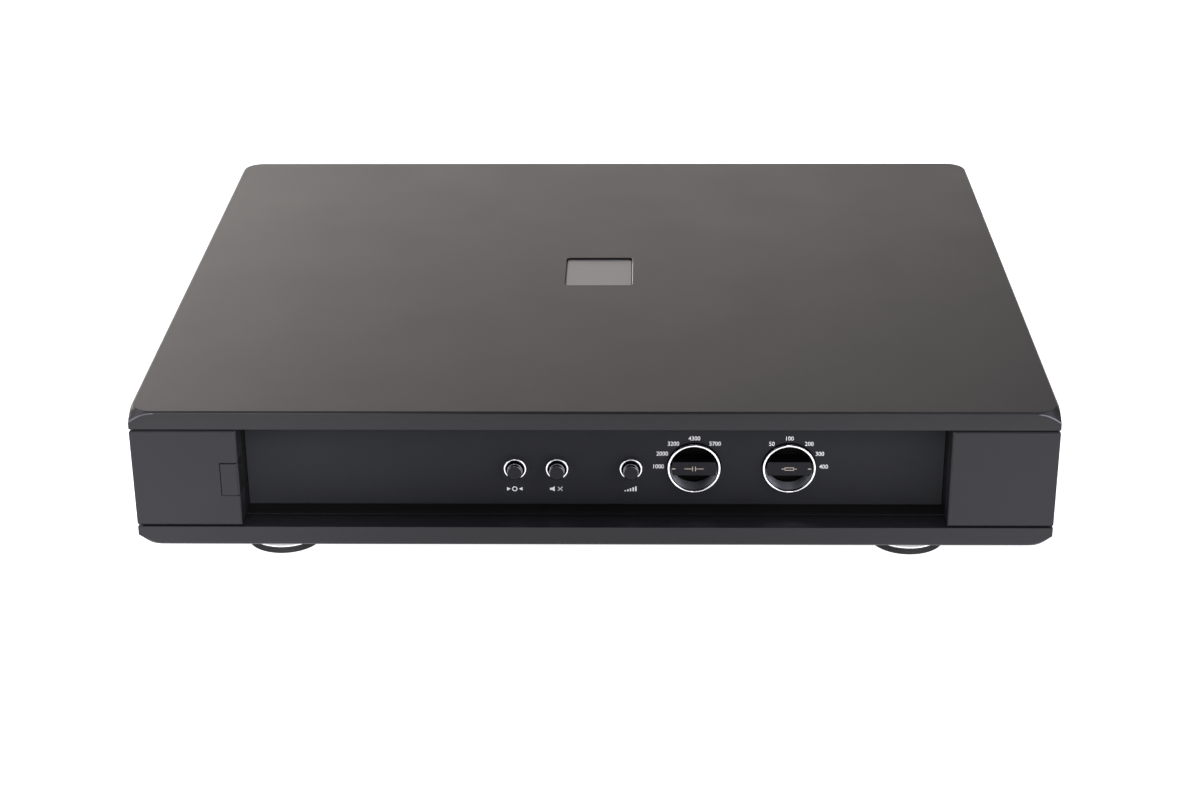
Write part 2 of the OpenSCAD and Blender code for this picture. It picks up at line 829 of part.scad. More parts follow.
// A coil spring round the Z axis, from Z = 0 to its length
module coil_spring(r, wire_r, turns, l) {
    steps = 12 * turns;
    rise = l - 2 * wire_r;
    swept([
        for (i = [0 : steps])
            let (t = 360 * turns * i / steps)
            [r * cos(t), r * sin(t), wire_r + rise * i / steps]
    ], wire_r);
}

// A smooth curve through points, with its first and last stretch straight
function smooth(points, steps) = concat(
    [points[0]],
    [
        for (i = [1 : len(points) - 3], k = [0 : steps - 1])
            let (a = points[i - 1], b = points[i], c = points[i + 1], d = points[i + 2], t = k / steps)
            ((2 * b) + (c - a) * t + (2 * a - 5 * b + 4 * c - d) * t * t
                + (3 * b - a - 3 * c + d) * t * t * t) / 2
    ],
    [points[len(points) - 2], points[len(points) - 1]]
);

module power_button_spring() {
    l = mains_plate_in - power_back - 2 * spring_seat_gap;
    color("#d0d1d3") facing_back(rod_x, at(power_back) + spring_seat_gap, power_axis_z)
        coil_spring(power_spring_r, power_wire_r, spring_turns, l);
}

module mains_switch() {
    color("#1b1b1d") difference() {
        translate([rod_x - mains_switch_w / 2, at(mains_switch_in), power_axis_z - mains_switch_h / 2])
            cube([mains_switch_w, mains_switch_l, mains_switch_h]);
        facing_back(rod_x, at(mains_switch_in) - past, power_axis_z)
            cylinder(r = rod_r + running_gap, h = rod_bore_back - mains_switch_in + past);
    }
}

module mains_switch_bracket() {
    half = mains_switch_w / 2 + 4;
    top = power_axis_z + mains_switch_h / 2 + 2;
    color("#9a9c9f") difference() {
        standing_bracket(rod_x - half, rod_x + half, at(mains_plate_in), top);
        facing_back(rod_x, at(mains_plate_in) - past, power_axis_z)
            cylinder(r = rod_r + rod_gap, h = bracket_t + 2 * past);
    }
}

// Spindle of a dial switch, with its flat, measured behind the fascia
module spindle_shape(r, front, flat_back) {
    difference() {
        translate([0, 0, front]) cylinder(r = r, h = spindle_back - front);
        translate([-r - past, r - spindle_flat, front - past])
            cube([2 * (r + past), r + past, flat_back - front + past]);
    }
}

module dial_knob(x) {
    r = dial_d / 2;
    inner_r = r - dial_rim_w;
    cup_front = dial_rim_t - dial_proud;
    bar_front = bar_back - dial_proud;
    color("#1a1a1c") facing_back(x, behind(0), control_axis_z) difference() {
        union() {
            difference() {
                translate([0, 0, cup_front]) cylinder(r = r, h = dial_back - cup_front);
                translate([0, 0, cup_front - past])
                    cylinder(r = inner_r, h = pocket_floor - cup_front + past);
            }
            intersection() {
                translate([0, 0, bar_front]) cylinder(r = bar_l / 2, h = dial_back - bar_front);
                translate([-r, -bar_h / 2, bar_front]) cube([dial_d, bar_h, dial_back - bar_front]);
            }
            translate([0, 0, dial_back - past]) cylinder(r = dial_boss_r, h = dial_boss_l + past);
        }
        spindle_shape(
            spindle_r + fixed_gap, spindle_front - spindle_end_gap, spindle_front + flat_l + 2 * past
        );
    }
}

module dial_rim(x) {
    color("#f2f2f3") facing_back(x, behind(-dial_proud), control_axis_z) difference() {
        cylinder(r = dial_d / 2, h = dial_rim_t);
        translate([0, 0, -past]) cylinder(r = dial_d / 2 - dial_rim_w, h = dial_rim_t + 2 * past);
    }
}

module dial_spindle(x) {
    color("#c4c5c7") facing_back(x, behind(0), control_axis_z)
        spindle_shape(spindle_r, spindle_front, spindle_front + flat_l);
}

module rotary_switch(x) {
    color("#6d5a34") facing_back(x, behind(0), control_axis_z) difference() {
        union() {
            translate([0, 0, bracket_in + bracket_t]) cylinder(r = rotary_r, h = rotary_l);
            translate([0, 0, bracket_in - bush_l]) cylinder(r = bush_r, h = bush_l + bracket_t + past);
            for (i = [0 : rotary_tags - 1])
                rotate([0, 0, 360 * i / rotary_tags])
                    translate([rotary_r - tag_in, -tag.y / 2, bracket_in + bracket_t + rotary_l - past])
                        cube([tag.x, tag.y, tag.z + past]);
        }
        translate([0, 0, bracket_in - bush_l - past])
            cylinder(r = spindle_r + running_gap, h = spindle_back + bush_l - bracket_in + 2 * past);
    }
}

module capacitance_knob() { dial_knob(capacitance_x); }
module capacitance_knob_rim() { dial_rim(capacitance_x); }
module capacitance_spindle() { dial_spindle(capacitance_x); }
module load_knob() { dial_knob(load_x); }
module load_knob_rim() { dial_rim(load_x); }
module load_spindle() { dial_spindle(load_x); }

module rotary_switches() {
    rotary_switch(capacitance_x);
    rotary_switch(load_x);
}

module switch_nuts() {
    color("#c4c5c7") for (x = [capacitance_x, load_x])
        facing_back(x, behind(bracket_in - nut_t), control_axis_z) difference() {
            cylinder(r = nut_r, h = nut_t, $fn = 6);
            translate([0, 0, -past]) cylinder(r = bush_r + fixed_gap, h = nut_t + 2 * past);
        }
}

module push_button(x) {
    front = -bezel_proud - button_proud;
    soften = 0.4;
    outline = [
        [0, front], [button_d / 2 - soften, front], [button_d / 2, front + soften],
        [button_d / 2, button_back], [stem_r, button_back], [stem_r, stem_back], [0, stem_back]
    ];
    color("#1f1f21") facing_back(x, behind(0), control_axis_z) rotate_extrude() polygon(outline);
}

module mono_button() { push_button(mono_x); }
module mute_button() { push_button(mute_x); }
module gain_button() { push_button(gain_x); }

module button_bezels() {
    sleeve_l = fascia_t + bezel_sleeve_past;
    color("#f2f2f3") for (x = [mono_x, mute_x, gain_x])
        facing_back(x, behind(0), control_axis_z) difference() {
            union() {
                translate([0, 0, -bezel_proud]) cylinder(r = bezel_d / 2, h = bezel_proud);
                translate([0, 0, -past]) cylinder(r = bezel_sleeve_r, h = sleeve_l + past);
            }
            translate([0, 0, -bezel_proud - past])
                cylinder(r = bezel_bore / 2, h = bezel_proud + sleeve_l + 2 * past);
        }
}

module button_switches() {
    bore_l = stem_back + button_travel + 1 - switch_front;
    color("#232325") for (x = [mono_x, mute_x, gain_x])
        facing_back(x, behind(switch_front), control_axis_z) difference() {
            translate([-switch_side / 2, -switch_side / 2, 0]) cube([switch_side, switch_side, switch_l]);
            translate([0, 0, -past]) cylinder(r = stem_r + running_gap, h = bore_l + past);
        }
}

module button_spring(x) {
    l = switch_front - button_back - 2 * spring_seat_gap;
    color("#d0d1d3") facing_back(x, behind(button_back + spring_seat_gap), control_axis_z)
        coil_spring(button_spring_r, button_wire_r, spring_turns, l);
}

module mono_spring() { button_spring(mono_x); }
module mute_spring() { button_spring(mute_x); }
module gain_spring() { button_spring(gain_x); }

module control_board() {
    color("#23512f") difference() {
        translate([control_left, behind(board_in), control_low])
            cube([control_right - control_left, board_t, control_high - control_low]);
        at_control_screws() translate([0, 0, -past])
            cylinder(r = board_screw_r + fixed_gap, h = board_t + 2 * past);
    }
}

// The three contacts of a balanced socket, seen along its axis
module at_contacts() {
    for (a = [30, 150, 270]) rotate([0, 0, -a]) translate([contact_ring, 0, 0]) children();
}

module balanced_shell(x) {
    facing_back(x, outside(0), connector_z) {
        rounded_plate(shell_w, shell_h, shell_flange_t, shell_corner_r);
        translate([0, 0, -shell_back]) cylinder(r = shell_r, h = shell_back + past);
    }
}

module shell_screw_holes(x) {
    at_shell_screws(x) translate([0, 0, -past])
        cylinder(r = screw_r + screw_gap, h = shell_flange_t + 2 * past);
}

module balanced_input(x) {
    color("#2c2d2f") difference() {
        balanced_shell(x);
        facing_back(x, outside(shell_flange_t - mouth_depth), connector_z)
            cylinder(r = mouth_r, h = mouth_depth + past);
        translate([x - latch_w / 2 - latch_gap, outside(0), connector_z + latch_z - latch_h / 2 - latch_gap])
            cube([latch_w + 2 * latch_gap, shell_flange_t + past, latch_h + 2 * latch_gap]);
        shell_screw_holes(x);
    }
}

module balanced_input_left() { balanced_input(balanced_input_xs[1]); }
module balanced_input_right() { balanced_input(balanced_input_xs[0]); }

// The round cores with the three contact holes, on the floor of the input mouths
module input_inserts() {
    color("#1d1e20") for (x = balanced_input_xs)
        facing_back(x, outside(shell_flange_t - mouth_depth), connector_z) difference() {
            cylinder(r = insert_r, h = mouth_depth);
            at_contacts() translate([0, 0, -past])
                cylinder(r = contact_hole_r, h = mouth_depth + 2 * past);
        }
}

module input_latch(x) {
    color("#3a3b3d")
        translate([x - latch_w / 2, outside(latch_front), connector_z + latch_z - latch_h / 2])
            cube([latch_w, shell_flange_t + latch_proud - latch_front, latch_h]);
}

module input_latch_left() { input_latch(balanced_input_xs[1]); }
module input_latch_right() { input_latch(balanced_input_xs[0]); }

module balanced_output(x) {
    color("#2c2d2f") {
        difference() {
            balanced_shell(x);
            facing_back(x, outside(shell_flange_t - mouth_depth), connector_z)
                cylinder(r = mouth_r, h = mouth_depth + past);
            shell_screw_holes(x);
        }
        facing_back(x, outside(shell_flange_t - mouth_depth - past), connector_z)
            at_contacts() cylinder(r = contact_pin_r, h = mouth_depth + past - pin_recess);
    }
}

module balanced_output_left() { balanced_output(balanced_output_xs[1]); }
module balanced_output_right() { balanced_output(balanced_output_xs[0]); }

module phono_sockets(xs) {
    contact_r = 1.6;
    contact_l = 8;
    insulator_r = 2.4;
    sleeve_wall = 0.6;
    color("#c9a24a") for (x = xs)
        facing_back(x, outside(0), connector_z) difference() {
            union() {
                translate([0, 0, -socket_body_l]) cylinder(r = socket_body_r, h = socket_body_l + past);
                cylinder(r = socket_flange_r, h = socket_flange_t);
                cylinder(r = sleeve_r, h = socket_flange_t + sleeve_l);
            }
            translate([0, 0, socket_flange_t + sleeve_l - contact_l])
                cylinder(r = contact_r, h = contact_l + past);
            translate([0, 0, socket_flange_t + sleeve_l - 1]) difference() {
                cylinder(r = sleeve_r - sleeve_wall, h = 1 + past);
                translate([0, 0, -past]) cylinder(r = insulator_r, h = 3 * past);
            }
        }
}

module input_sockets() { phono_sockets(input_xs); }
module output_sockets() { phono_sockets(output_xs); }

module earth_post() {
    color("#c9a24a") facing_back(earth_x, outside(0), connector_z) {
        translate([0, 0, -socket_body_l]) cylinder(r = earth_body_r, h = socket_body_l + past);
        cylinder(r = earth_flange_r, h = socket_flange_t, $fn = 6);
        cylinder(r = earth_stud_r, h = earth_stud_l);
    }
}

module earth_nut() {
    flute_r = 0.45;
    color("#d4ae55") facing_back(earth_x, outside(earth_nut_front), connector_z) difference() {
        cylinder(r = earth_nut_r, h = earth_nut_l);
        translate([0, 0, -past]) cylinder(r = earth_stud_r + running_gap, h = earth_nut_l + 2 * past);
        for (i = [0 : earth_flutes - 1])
            rotate([0, 0, 360 * i / earth_flutes])
                translate([earth_nut_r, 0, -past]) cylinder(r = flute_r, h = earth_nut_l + 2 * past);
    }
}

// Mouth of the inlet, with its two chamfered corners at the top
function inlet_outline() =
    let (x = inlet_mouth.x / 2, z = inlet_mouth.y / 2)
    [[-x, -z], [x, -z], [x, z - inlet_chamfer], [x - inlet_chamfer, z], [inlet_chamfer - x, z],
     [-x, z - inlet_chamfer]];

// Turns a flat outline in X and Z so that it is extruded backwards, out of the panel
module outwards(y) {
    translate([inlet_x, outside(y), connector_z]) rotate([90, 0, 0]) mirror([0, 0, 1]) children();
}

module mains_inlet() {
    mouth_back = inlet_flange.z - inlet_depth;
    drawer_space_l = drawer_back + 2 + inlet_flange.z;
    color("#161617") {
        difference() {
            union() {
                outwards(0) rounded_plate(inlet_flange.x, inlet_flange.y, inlet_flange.z, 3);
                translate([inlet_x, outside((past - inlet_body.z) / 2), connector_z])
                    cube([inlet_body.x, inlet_body.z + past, inlet_body.y], center = true);
            }
            outwards(mouth_back) translate([0, inlet_mouth_z, 0])
                linear_extrude(inlet_depth + past) polygon(inlet_outline());
            translate([inlet_x - drawer_w / 2 - drawer_gap, outside(inlet_flange.z - drawer_space_l),
                       connector_z + drawer_z - drawer_h / 2 - drawer_gap])
                cube([drawer_w + 2 * drawer_gap, drawer_space_l + past, drawer_h + 2 * drawer_gap]);
            at_inlet_screws() translate([0, 0, -past])
                cylinder(r = screw_r + screw_gap, h = inlet_flange.z + 2 * past);
        }
        for (p = [[0, blade_z], [-blade_x, -blade_z], [blade_x, -blade_z]])
            translate([inlet_x + p.x - blade.x / 2, outside(mouth_back - past),
                       connector_z + inlet_mouth_z + p.y - blade.y / 2])
                cube([blade.x, inlet_depth - blade_recess + past, blade.y]);
    }
}

module fuse_drawer() {
    lip_y = inlet_flange.z + drawer_gap;
    fuse_z = connector_z + drawer_z;
    color("#1d1d1f") difference() {
        union() {
            translate([inlet_x - drawer_w / 2, outside(-drawer_back), fuse_z - drawer_h / 2])
                cube([drawer_w, drawer_back + lip_y + past / 2, drawer_h]);
            translate([inlet_x - drawer_lip.x / 2, outside(lip_y), fuse_z - drawer_lip.y / 2])
                cube([drawer_lip.x, drawer_lip.z, drawer_lip.y]);
        }
        translate([inlet_x - fuse_l / 2 - fixed_gap, outside(-fuse_in), fuse_z]) rotate([0, 90, 0])
            cylinder(r = fuse_r + fixed_gap, h = fuse_l + 2 * fixed_gap);
        translate([inlet_x - fuse_l / 2 - fixed_gap, outside(-fuse_in) - fuse_r - fixed_gap, fuse_z])
            cube([fuse_l + 2 * fixed_gap, 2 * (fuse_r + fixed_gap), drawer_h]);
    }
}

module fuse() {
    color("#d8dadc") translate([inlet_x - fuse_l / 2, outside(-fuse_in), connector_z + drawer_z])
        rotate([0, 90, 0]) cylinder(r = fuse_r, h = fuse_l);
}

module transformer() {
    inner = transformer_bore;
    outer = transformer_r;
    round = transformer_round;
    color("#b5872f") translate([transformer_x, at(transformer_d), floor_z]) rotate_extrude() {
        translate([inner + round, 0]) square([outer - inner - 2 * round, transformer_h]);
        translate([inner, round]) square([outer - inner, transformer_h - 2 * round]);
        for (x = [inner + round, outer - round], y = [round, transformer_h - round])
            translate([x, y]) circle(r = round);
    }
}

module transformer_plate() {
    color("#9a9c9f") translate([transformer_x, at(transformer_d), transformer_top]) difference() {
        cylinder(r = transformer_plate_r, h = transformer_plate_t);
        translate([0, 0, -past])
            cylinder(r = transformer_bolt_r + fixed_gap, h = transformer_plate_t + 2 * past);
    }
}

module transformer_bolt() {
    seat = transformer_top + transformer_plate_t;
    tip = floor_z + transformer_boss_h - transformer_thread + 1;
    color("#c4c5c7") translate([transformer_x, at(transformer_d), tip]) {
        cylinder(r = transformer_bolt_r, h = seat - tip + past);
        translate([0, 0, seat - tip])
            cylinder(r = transformer_bolt_head_r, h = transformer_bolt_head_h, $fn = 6);
    }
}

module main_board() {
    color("#23512f") difference() {
        translate([board_left, at(board_front), board_z])
            cube([board_right - board_left, board_rear - board_front, board_t]);
        at_pillars() translate([0, 0, board_z - past])
            cylinder(r = board_screw_r + fixed_gap, h = board_t + 2 * past);
    }
}

module board_pillars() {
    color("#c9a24a") at_pillars() difference() {
        translate([0, 0, floor_z]) cylinder(r = pillar_r, h = pillar_h);
        translate([0, 0, floor_z + pillar_h / 2 - 1])
            cylinder(r = board_screw_r + fixed_gap, h = pillar_h);
    }
}

module smoothing_capacitors() {
    color("#26324a") for (x = can_xs, d = can_ds)
        translate([x, at(d), board_top]) cylinder(r = can_r, h = can_h);
}

module coupling_capacitors() {
    color("#a8342c") for (x = film_xs, d = film_ds)
        translate([x, at(d), board_top]) cube(film_box);
}

module mains_wiring() {
    inlet_y = outside(-inlet_body.z);
    switch_y = at(mains_switch_in + mains_switch_l);
    outer_x = rod_x - mains_switch_w / 4;
    inner_x = rod_x + mains_switch_w / 4;
    turn = 14;
    color("#a3492b") {
        swept(smooth([
            [inlet_x, inlet_y, connector_z], [inlet_x, inlet_y - 3, connector_z],
            [wire_lane_x, inlet_y - 2 * turn, wire_low_z], [wire_lane_x, inlet_y - 4 * turn, wire_low_z],
            [wire_lane_x, switch_y + 4 * turn, wire_low_z],
            [wire_lane_x, switch_y + 2 * turn, wire_low_z + 6],
            [outer_x, switch_y + 3, power_axis_z], [outer_x, switch_y, power_axis_z]
        ], 5), wire_r);
        swept(smooth([
            [inner_x, switch_y, power_axis_z], [inner_x, switch_y + 3, power_axis_z],
            [transformer_x, switch_y + 3 * turn, wire_low_z + 10],
            [transformer_x, at(transformer_d) - transformer_r - 3, wire_low_z],
            [transformer_x, at(transformer_d) - transformer_r, wire_low_z]
        ], 5), wire_r);
    }
}

top_cover();
badge_plate();
base();
left_side_frame();
right_side_frame();
recess_surround();
fascia_panel();
switch_bracket();
rear_panel();
feet();
foot_discs();
foot_screws();
cover_screws();
rear_panel_screws();
connector_screws();
board_screws();
power_button();
power_push_rod();
power_button_spring();
mains_switch();
mains_switch_bracket();
capacitance_knob();
capacitance_knob_rim();
capacitance_spindle();
load_knob();
load_knob_rim();
load_spindle();
rotary_switches();
switch_nuts();
mono_button();
mute_button();
gain_button();
button_bezels();
button_switches();
mono_spring();
mute_spring();
gain_spring();
control_board();
balanced_input_left();
balanced_input_right();
input_inserts();
input_latch_left();
input_latch_right();
balanced_output_left();
balanced_output_right();
input_sockets();
output_sockets();
earth_post();
earth_nut();
mains_inlet();
fuse_drawer();
fuse();
transformer();
transformer_plate();
transformer_bolt();
main_board();
board_pillars();
smoothing_capacitors();
coupling_capacitors();
mains_wiring();
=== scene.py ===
"""Full-width phono preamp: finished pieces built round its CAD frame."""

import json
import math
from typing import NamedTuple

import bmesh
import bpy
from bpy.props import FloatProperty, FloatVectorProperty, IntProperty, PointerProperty
from bpy.types import Operator, Panel, PropertyGroup
from mathutils import Matrix, Vector


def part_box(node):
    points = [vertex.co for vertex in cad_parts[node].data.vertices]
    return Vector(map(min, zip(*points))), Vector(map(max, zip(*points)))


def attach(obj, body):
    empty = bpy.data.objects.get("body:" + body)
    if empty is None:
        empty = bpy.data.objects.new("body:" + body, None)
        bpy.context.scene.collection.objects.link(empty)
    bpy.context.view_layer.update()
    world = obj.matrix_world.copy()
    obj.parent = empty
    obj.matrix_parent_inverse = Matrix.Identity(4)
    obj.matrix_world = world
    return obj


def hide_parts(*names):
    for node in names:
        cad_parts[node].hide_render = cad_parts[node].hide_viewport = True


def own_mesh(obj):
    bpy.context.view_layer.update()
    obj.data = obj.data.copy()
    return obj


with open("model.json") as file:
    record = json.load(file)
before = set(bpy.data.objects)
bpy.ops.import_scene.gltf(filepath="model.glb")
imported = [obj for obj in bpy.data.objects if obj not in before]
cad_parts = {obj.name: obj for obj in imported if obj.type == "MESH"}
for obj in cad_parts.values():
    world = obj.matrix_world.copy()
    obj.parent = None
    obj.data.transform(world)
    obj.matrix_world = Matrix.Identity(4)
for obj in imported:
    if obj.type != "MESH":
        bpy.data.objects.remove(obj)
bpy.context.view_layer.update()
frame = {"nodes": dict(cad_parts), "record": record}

bl_info = {
    "name": "Phono Preamp",
    "version": (1, 0, 0),
    "blender": (4, 5, 0),
    "location": "3D View > Sidebar > Preamp",
    "description": "Builds the finished pieces of a full-width phono preamp round its CAD frame",
    "category": "Add Mesh",
}

MM = 0.001
SCALE_IN = Matrix.Scale(MM, 4)
CASE = "case"
DIALS = ("capacitance", "load")
BUTTONS = ("mono", "mute", "gain")
FLAT_ANGLE = math.radians(1)  # faces that meet at less become one
EDGE_ANGLE = math.radians(30)  # edges of a CAD node that are sharper get a rounding
SMOOTH_ANGLE = math.radians(32)  # edges that are sharper stay sharp in the shading


# ---------------------------------------------------------------- user settings


def length(name, description, default, low=0.0, high=1.0):
    """A length property; its default is given in millimetres."""
    return FloatProperty(
        name=name,
        description=description,
        default=default * MM,
        min=low,
        max=high,
        unit="LENGTH",
        subtype="DISTANCE",
        precision=5,
    )


def count(name, description, default, low, high):
    """A whole number."""
    return IntProperty(name=name, description=description, default=default, min=low, max=high)


def colour(name, description, *default):
    """A colour property, from linear red, green and blue."""
    return FloatVectorProperty(
        name=name,
        description=description,
        default=default,
        size=3,
        min=0.0,
        max=1.0,
        subtype="COLOR",
    )


class PreampSizes(PropertyGroup):
    edge_round: length("Edge rounding", "Rounding of the edges of the base", 0.25)
    cover_round: length("Cover rounding", "Rounding of the top cover's corner curves", 0.45)
    block_round: length("Block rounding", "Rounding of the front blocks' long edges", 0.5)
    sheet_round: length("Sheet rounding", "Rounding of the edges of thin sheets", 0.12)
    panel_round: length("Panel rounding", "Rounding of the rear panel's edges", 0.1)
    plate_round: length("Plate rounding", "Rounding of the badge plate", 0.2)
    power_round: length("Power rounding", "Rounding of the power button", 0.15)
    moulding_round: length("Moulding rounding", "Rounding of the rear connectors", 0.3)
    insert_round: length("Insert rounding", "Rounding of the balanced inputs' inserts", 0.25)
    tab_round: length("Tab rounding", "Rounding of the latches and the fuse drawer", 0.35)
    badge_sink: length("Badge sink", "Extra depth of the badge plate's face", 0.55)
    badge_play: length("Badge play", "Extra play round the badge plate", 0.25)
    rim_width: length("Rim width", "Width of the bright rim of a dial", 1.2)
    rim_round: length("Rim rounding", "Rounding of the bright rims", 0.5)
    bezel_width: length("Bezel width", "Width of the bright ring round a button", 1.12)
    cap_round: length("Cap rounding", "Rounding of the front edge of a button", 0.55)
    cap_dome: length("Cap dome", "Rise of the middle of a button's face", 0.12)
    bar_round: length("Bar rounding", "Rounding of the edges of a dial's bar", 0.3)
    digit_height: length("Digit height", "Height of the numbers round the dials", 2.2)
    digit_gap: length("Digit gap", "Gap between a dial's rim and its numbers", 1.6)
    ink_height: length("Ink thickness", "Thickness of the printed marks", 0.03)
    rib_pitch: length("Rib pitch", "Distance between the ribs of a foot", 0.8)
    rib_radius: length("Rib radius", "Radius of the ribs of a foot", 0.36)
    button_sag: length("Button sag", "Play that the power button hangs down by", 0.12)
    neck_radius: length("Neck radius", "Radius of the neck of a foot", 12.0)
    button_wire: length("Button wire", "Wire radius of a button's spring", 0.25)
    power_wire: length("Power wire", "Wire radius of the power button's spring", 0.35)
    spring_turns: count("Spring turns", "Turns of each coil spring", 6, 3, 20)
    nut_flutes: count("Nut flutes", "Number of grooves round the thumb nut", 18, 8, 40)
    floor_radius: length("Floor radius", "Radius of the studio floor", 9000.0, 0.5, 50.0)


class PreampColours(PropertyGroup):
    cover: colour("Cover", "Satin finish of the cover", 0.0120, 0.0118, 0.0130)
    case: colour("Case", "Satin finish of base and side frames", 0.0120, 0.0118, 0.0138)
    recess: colour("Recess", "Black lining of the front recess", 0.006, 0.006, 0.006)
    fascia: colour("Fascia", "Dark panel behind the controls", 0.0275, 0.0283, 0.0308)
    badge: colour("Badge", "Satin plate in the cover", 0.290, 0.287, 0.283)
    bright: colour("Bright rings", "Polished rims and bezels", 0.93, 0.93, 0.94)
    dial: colour("Dials", "Black of the dial cups", 0.012, 0.012, 0.015)
    button: colour("Buttons", "Black of the button caps", 0.010, 0.010, 0.012)
    panel: colour("Rear panel", "Finish of the rear panel", 0.022, 0.022, 0.023)
    ink: colour("Ink", "Numbers and marks on the fascia", 0.93, 0.93, 0.95)
    dial_ink: colour("Dial ink", "Marks on the dials", 0.55, 0.48, 0.41)
    foot: colour("Feet", "Ribbed rings of the feet", 0.028, 0.028, 0.030)
    disc: colour("Foot discs", "Discs on top of the ribbed rings", 0.92, 0.92, 0.93)
    floor: colour("Floor", "Studio floor", 0.90, 0.90, 0.90)


def sizes():
    return bpy.context.scene.preamp_sizes


def colours():
    return bpy.context.scene.preamp_colours


def mm(value):
    return value / MM


# ---------------------------------------------------------------- node helpers


def feed(tree, node, values):
    """Fills a node's inputs; a value is a number, a colour or another node's socket."""
    for key, value in values.items():
        if isinstance(value, bpy.types.NodeSocket):
            tree.links.new(value, node.inputs[key])
        else:
            node.inputs[key].default_value = value
    return node


def add(tree, kind, values=None, **settings):
    """Adds a node with its settings and inputs."""
    node = tree.nodes.new(kind)
    for name, value in settings.items():
        setattr(node, name, value)
    return feed(tree, node, values or {})


def result_of(tree, kind, values=None, **settings):
    """Adds a node and returns its first output."""
    return add(tree, kind, values, **settings).outputs[0]


def maths(tree, operation, *values):
    return result_of(tree, "ShaderNodeMath", dict(enumerate(values)), operation=operation)


def vector_maths(tree, operation, values):
    return add(tree, "ShaderNodeVectorMath", values, operation=operation).outputs


def new_group(name, kind, inputs, outputs):
    """A node group with its sockets, and its input and output nodes."""
    group = bpy.data.node_groups.new(name, kind)
    for direction, sockets in (("INPUT", inputs), ("OUTPUT", outputs)):
        for label, socket_kind, *start in sockets:
            socket = group.interface.new_socket(
                label, in_out=direction, socket_type="NodeSocket" + socket_kind
            )
            if start:
                socket.default_value = start[0]
    source = group.nodes.new("NodeGroupInput")
    return group, source.outputs, group.nodes.new("NodeGroupOutput")


def once(name):
    """Has a node group built the first time that it is asked for."""

    def wrap(build):
        return lambda: bpy.data.node_groups.get(name) or build(name)

    return wrap


# ---------------------------------------------------------------- shader groups


@once("Surface Grain")
def grain_group(name):
    """Fine grain and broad mottle of a surface, each from 0 to 1."""
    group, source, result = new_group(
        name,
        "ShaderNodeTree",
        [("Vector", "Vector"), ("Grain Size", "Float", 0.0003), ("Mottle Size", "Float", 0.03)],
        [("Grain", "Float"), ("Mottle", "Float")],
    )
    for label, detail, rough in (("Grain", 2.0, 0.6), ("Mottle", 4.0, 0.55)):
        scale = maths(group, "DIVIDE", 1.0, source[label + " Size"])
        values = {"Vector": source["Vector"], "Scale": scale, "Detail": detail, "Roughness": rough}
        noise = add(group, "ShaderNodeTexNoise", values)
        group.links.new(noise.outputs["Fac"], result.inputs[label])
    return group


@once("Brushed Lines")
def brushed_group(name):
    """Fine lines of a brushed or drawn metal, from 0 to 1."""
    group, source, result = new_group(
        name,
        "ShaderNodeTree",
        [("Vector", "Vector"), ("Stretch", "Vector", (1.0, 1.0, 1.0))],
        [("Lines", "Float")],
    )
    stretched = vector_maths(group, "MULTIPLY", {0: source["Vector"], 1: source["Stretch"]})[0]
    noise = add(group, "ShaderNodeTexNoise", {"Vector": stretched, "Scale": 1.0, "Detail": 3.0})
    group.links.new(noise.outputs["Fac"], result.inputs["Lines"])
    return group


# ---------------------------------------------------------------- materials


class Look(NamedTuple):
    """Finish of a material slot, with the sizes of grain and mottle in millimetres."""

    colour: object  # a name in PreampColours, or a linear colour
    rough: float
    metal: float = 0.0
    specular: float = 0.5
    grain: float = 0.2
    depth: float = 0.08  # strength of the relief
    mottle: float = 20.0
    tint: float = 0.06  # how far the mottle changes the colour
    spread: float = 0.04  # how far the mottle changes the roughness
    lines: tuple = None  # stretch of the brushed lines, in place of grain and mottle
    turned: float = 0.0  # streaks of a surface that was turned about Y
    # emission that paints light onto a part that is no lamp
    glow: float = 0.0


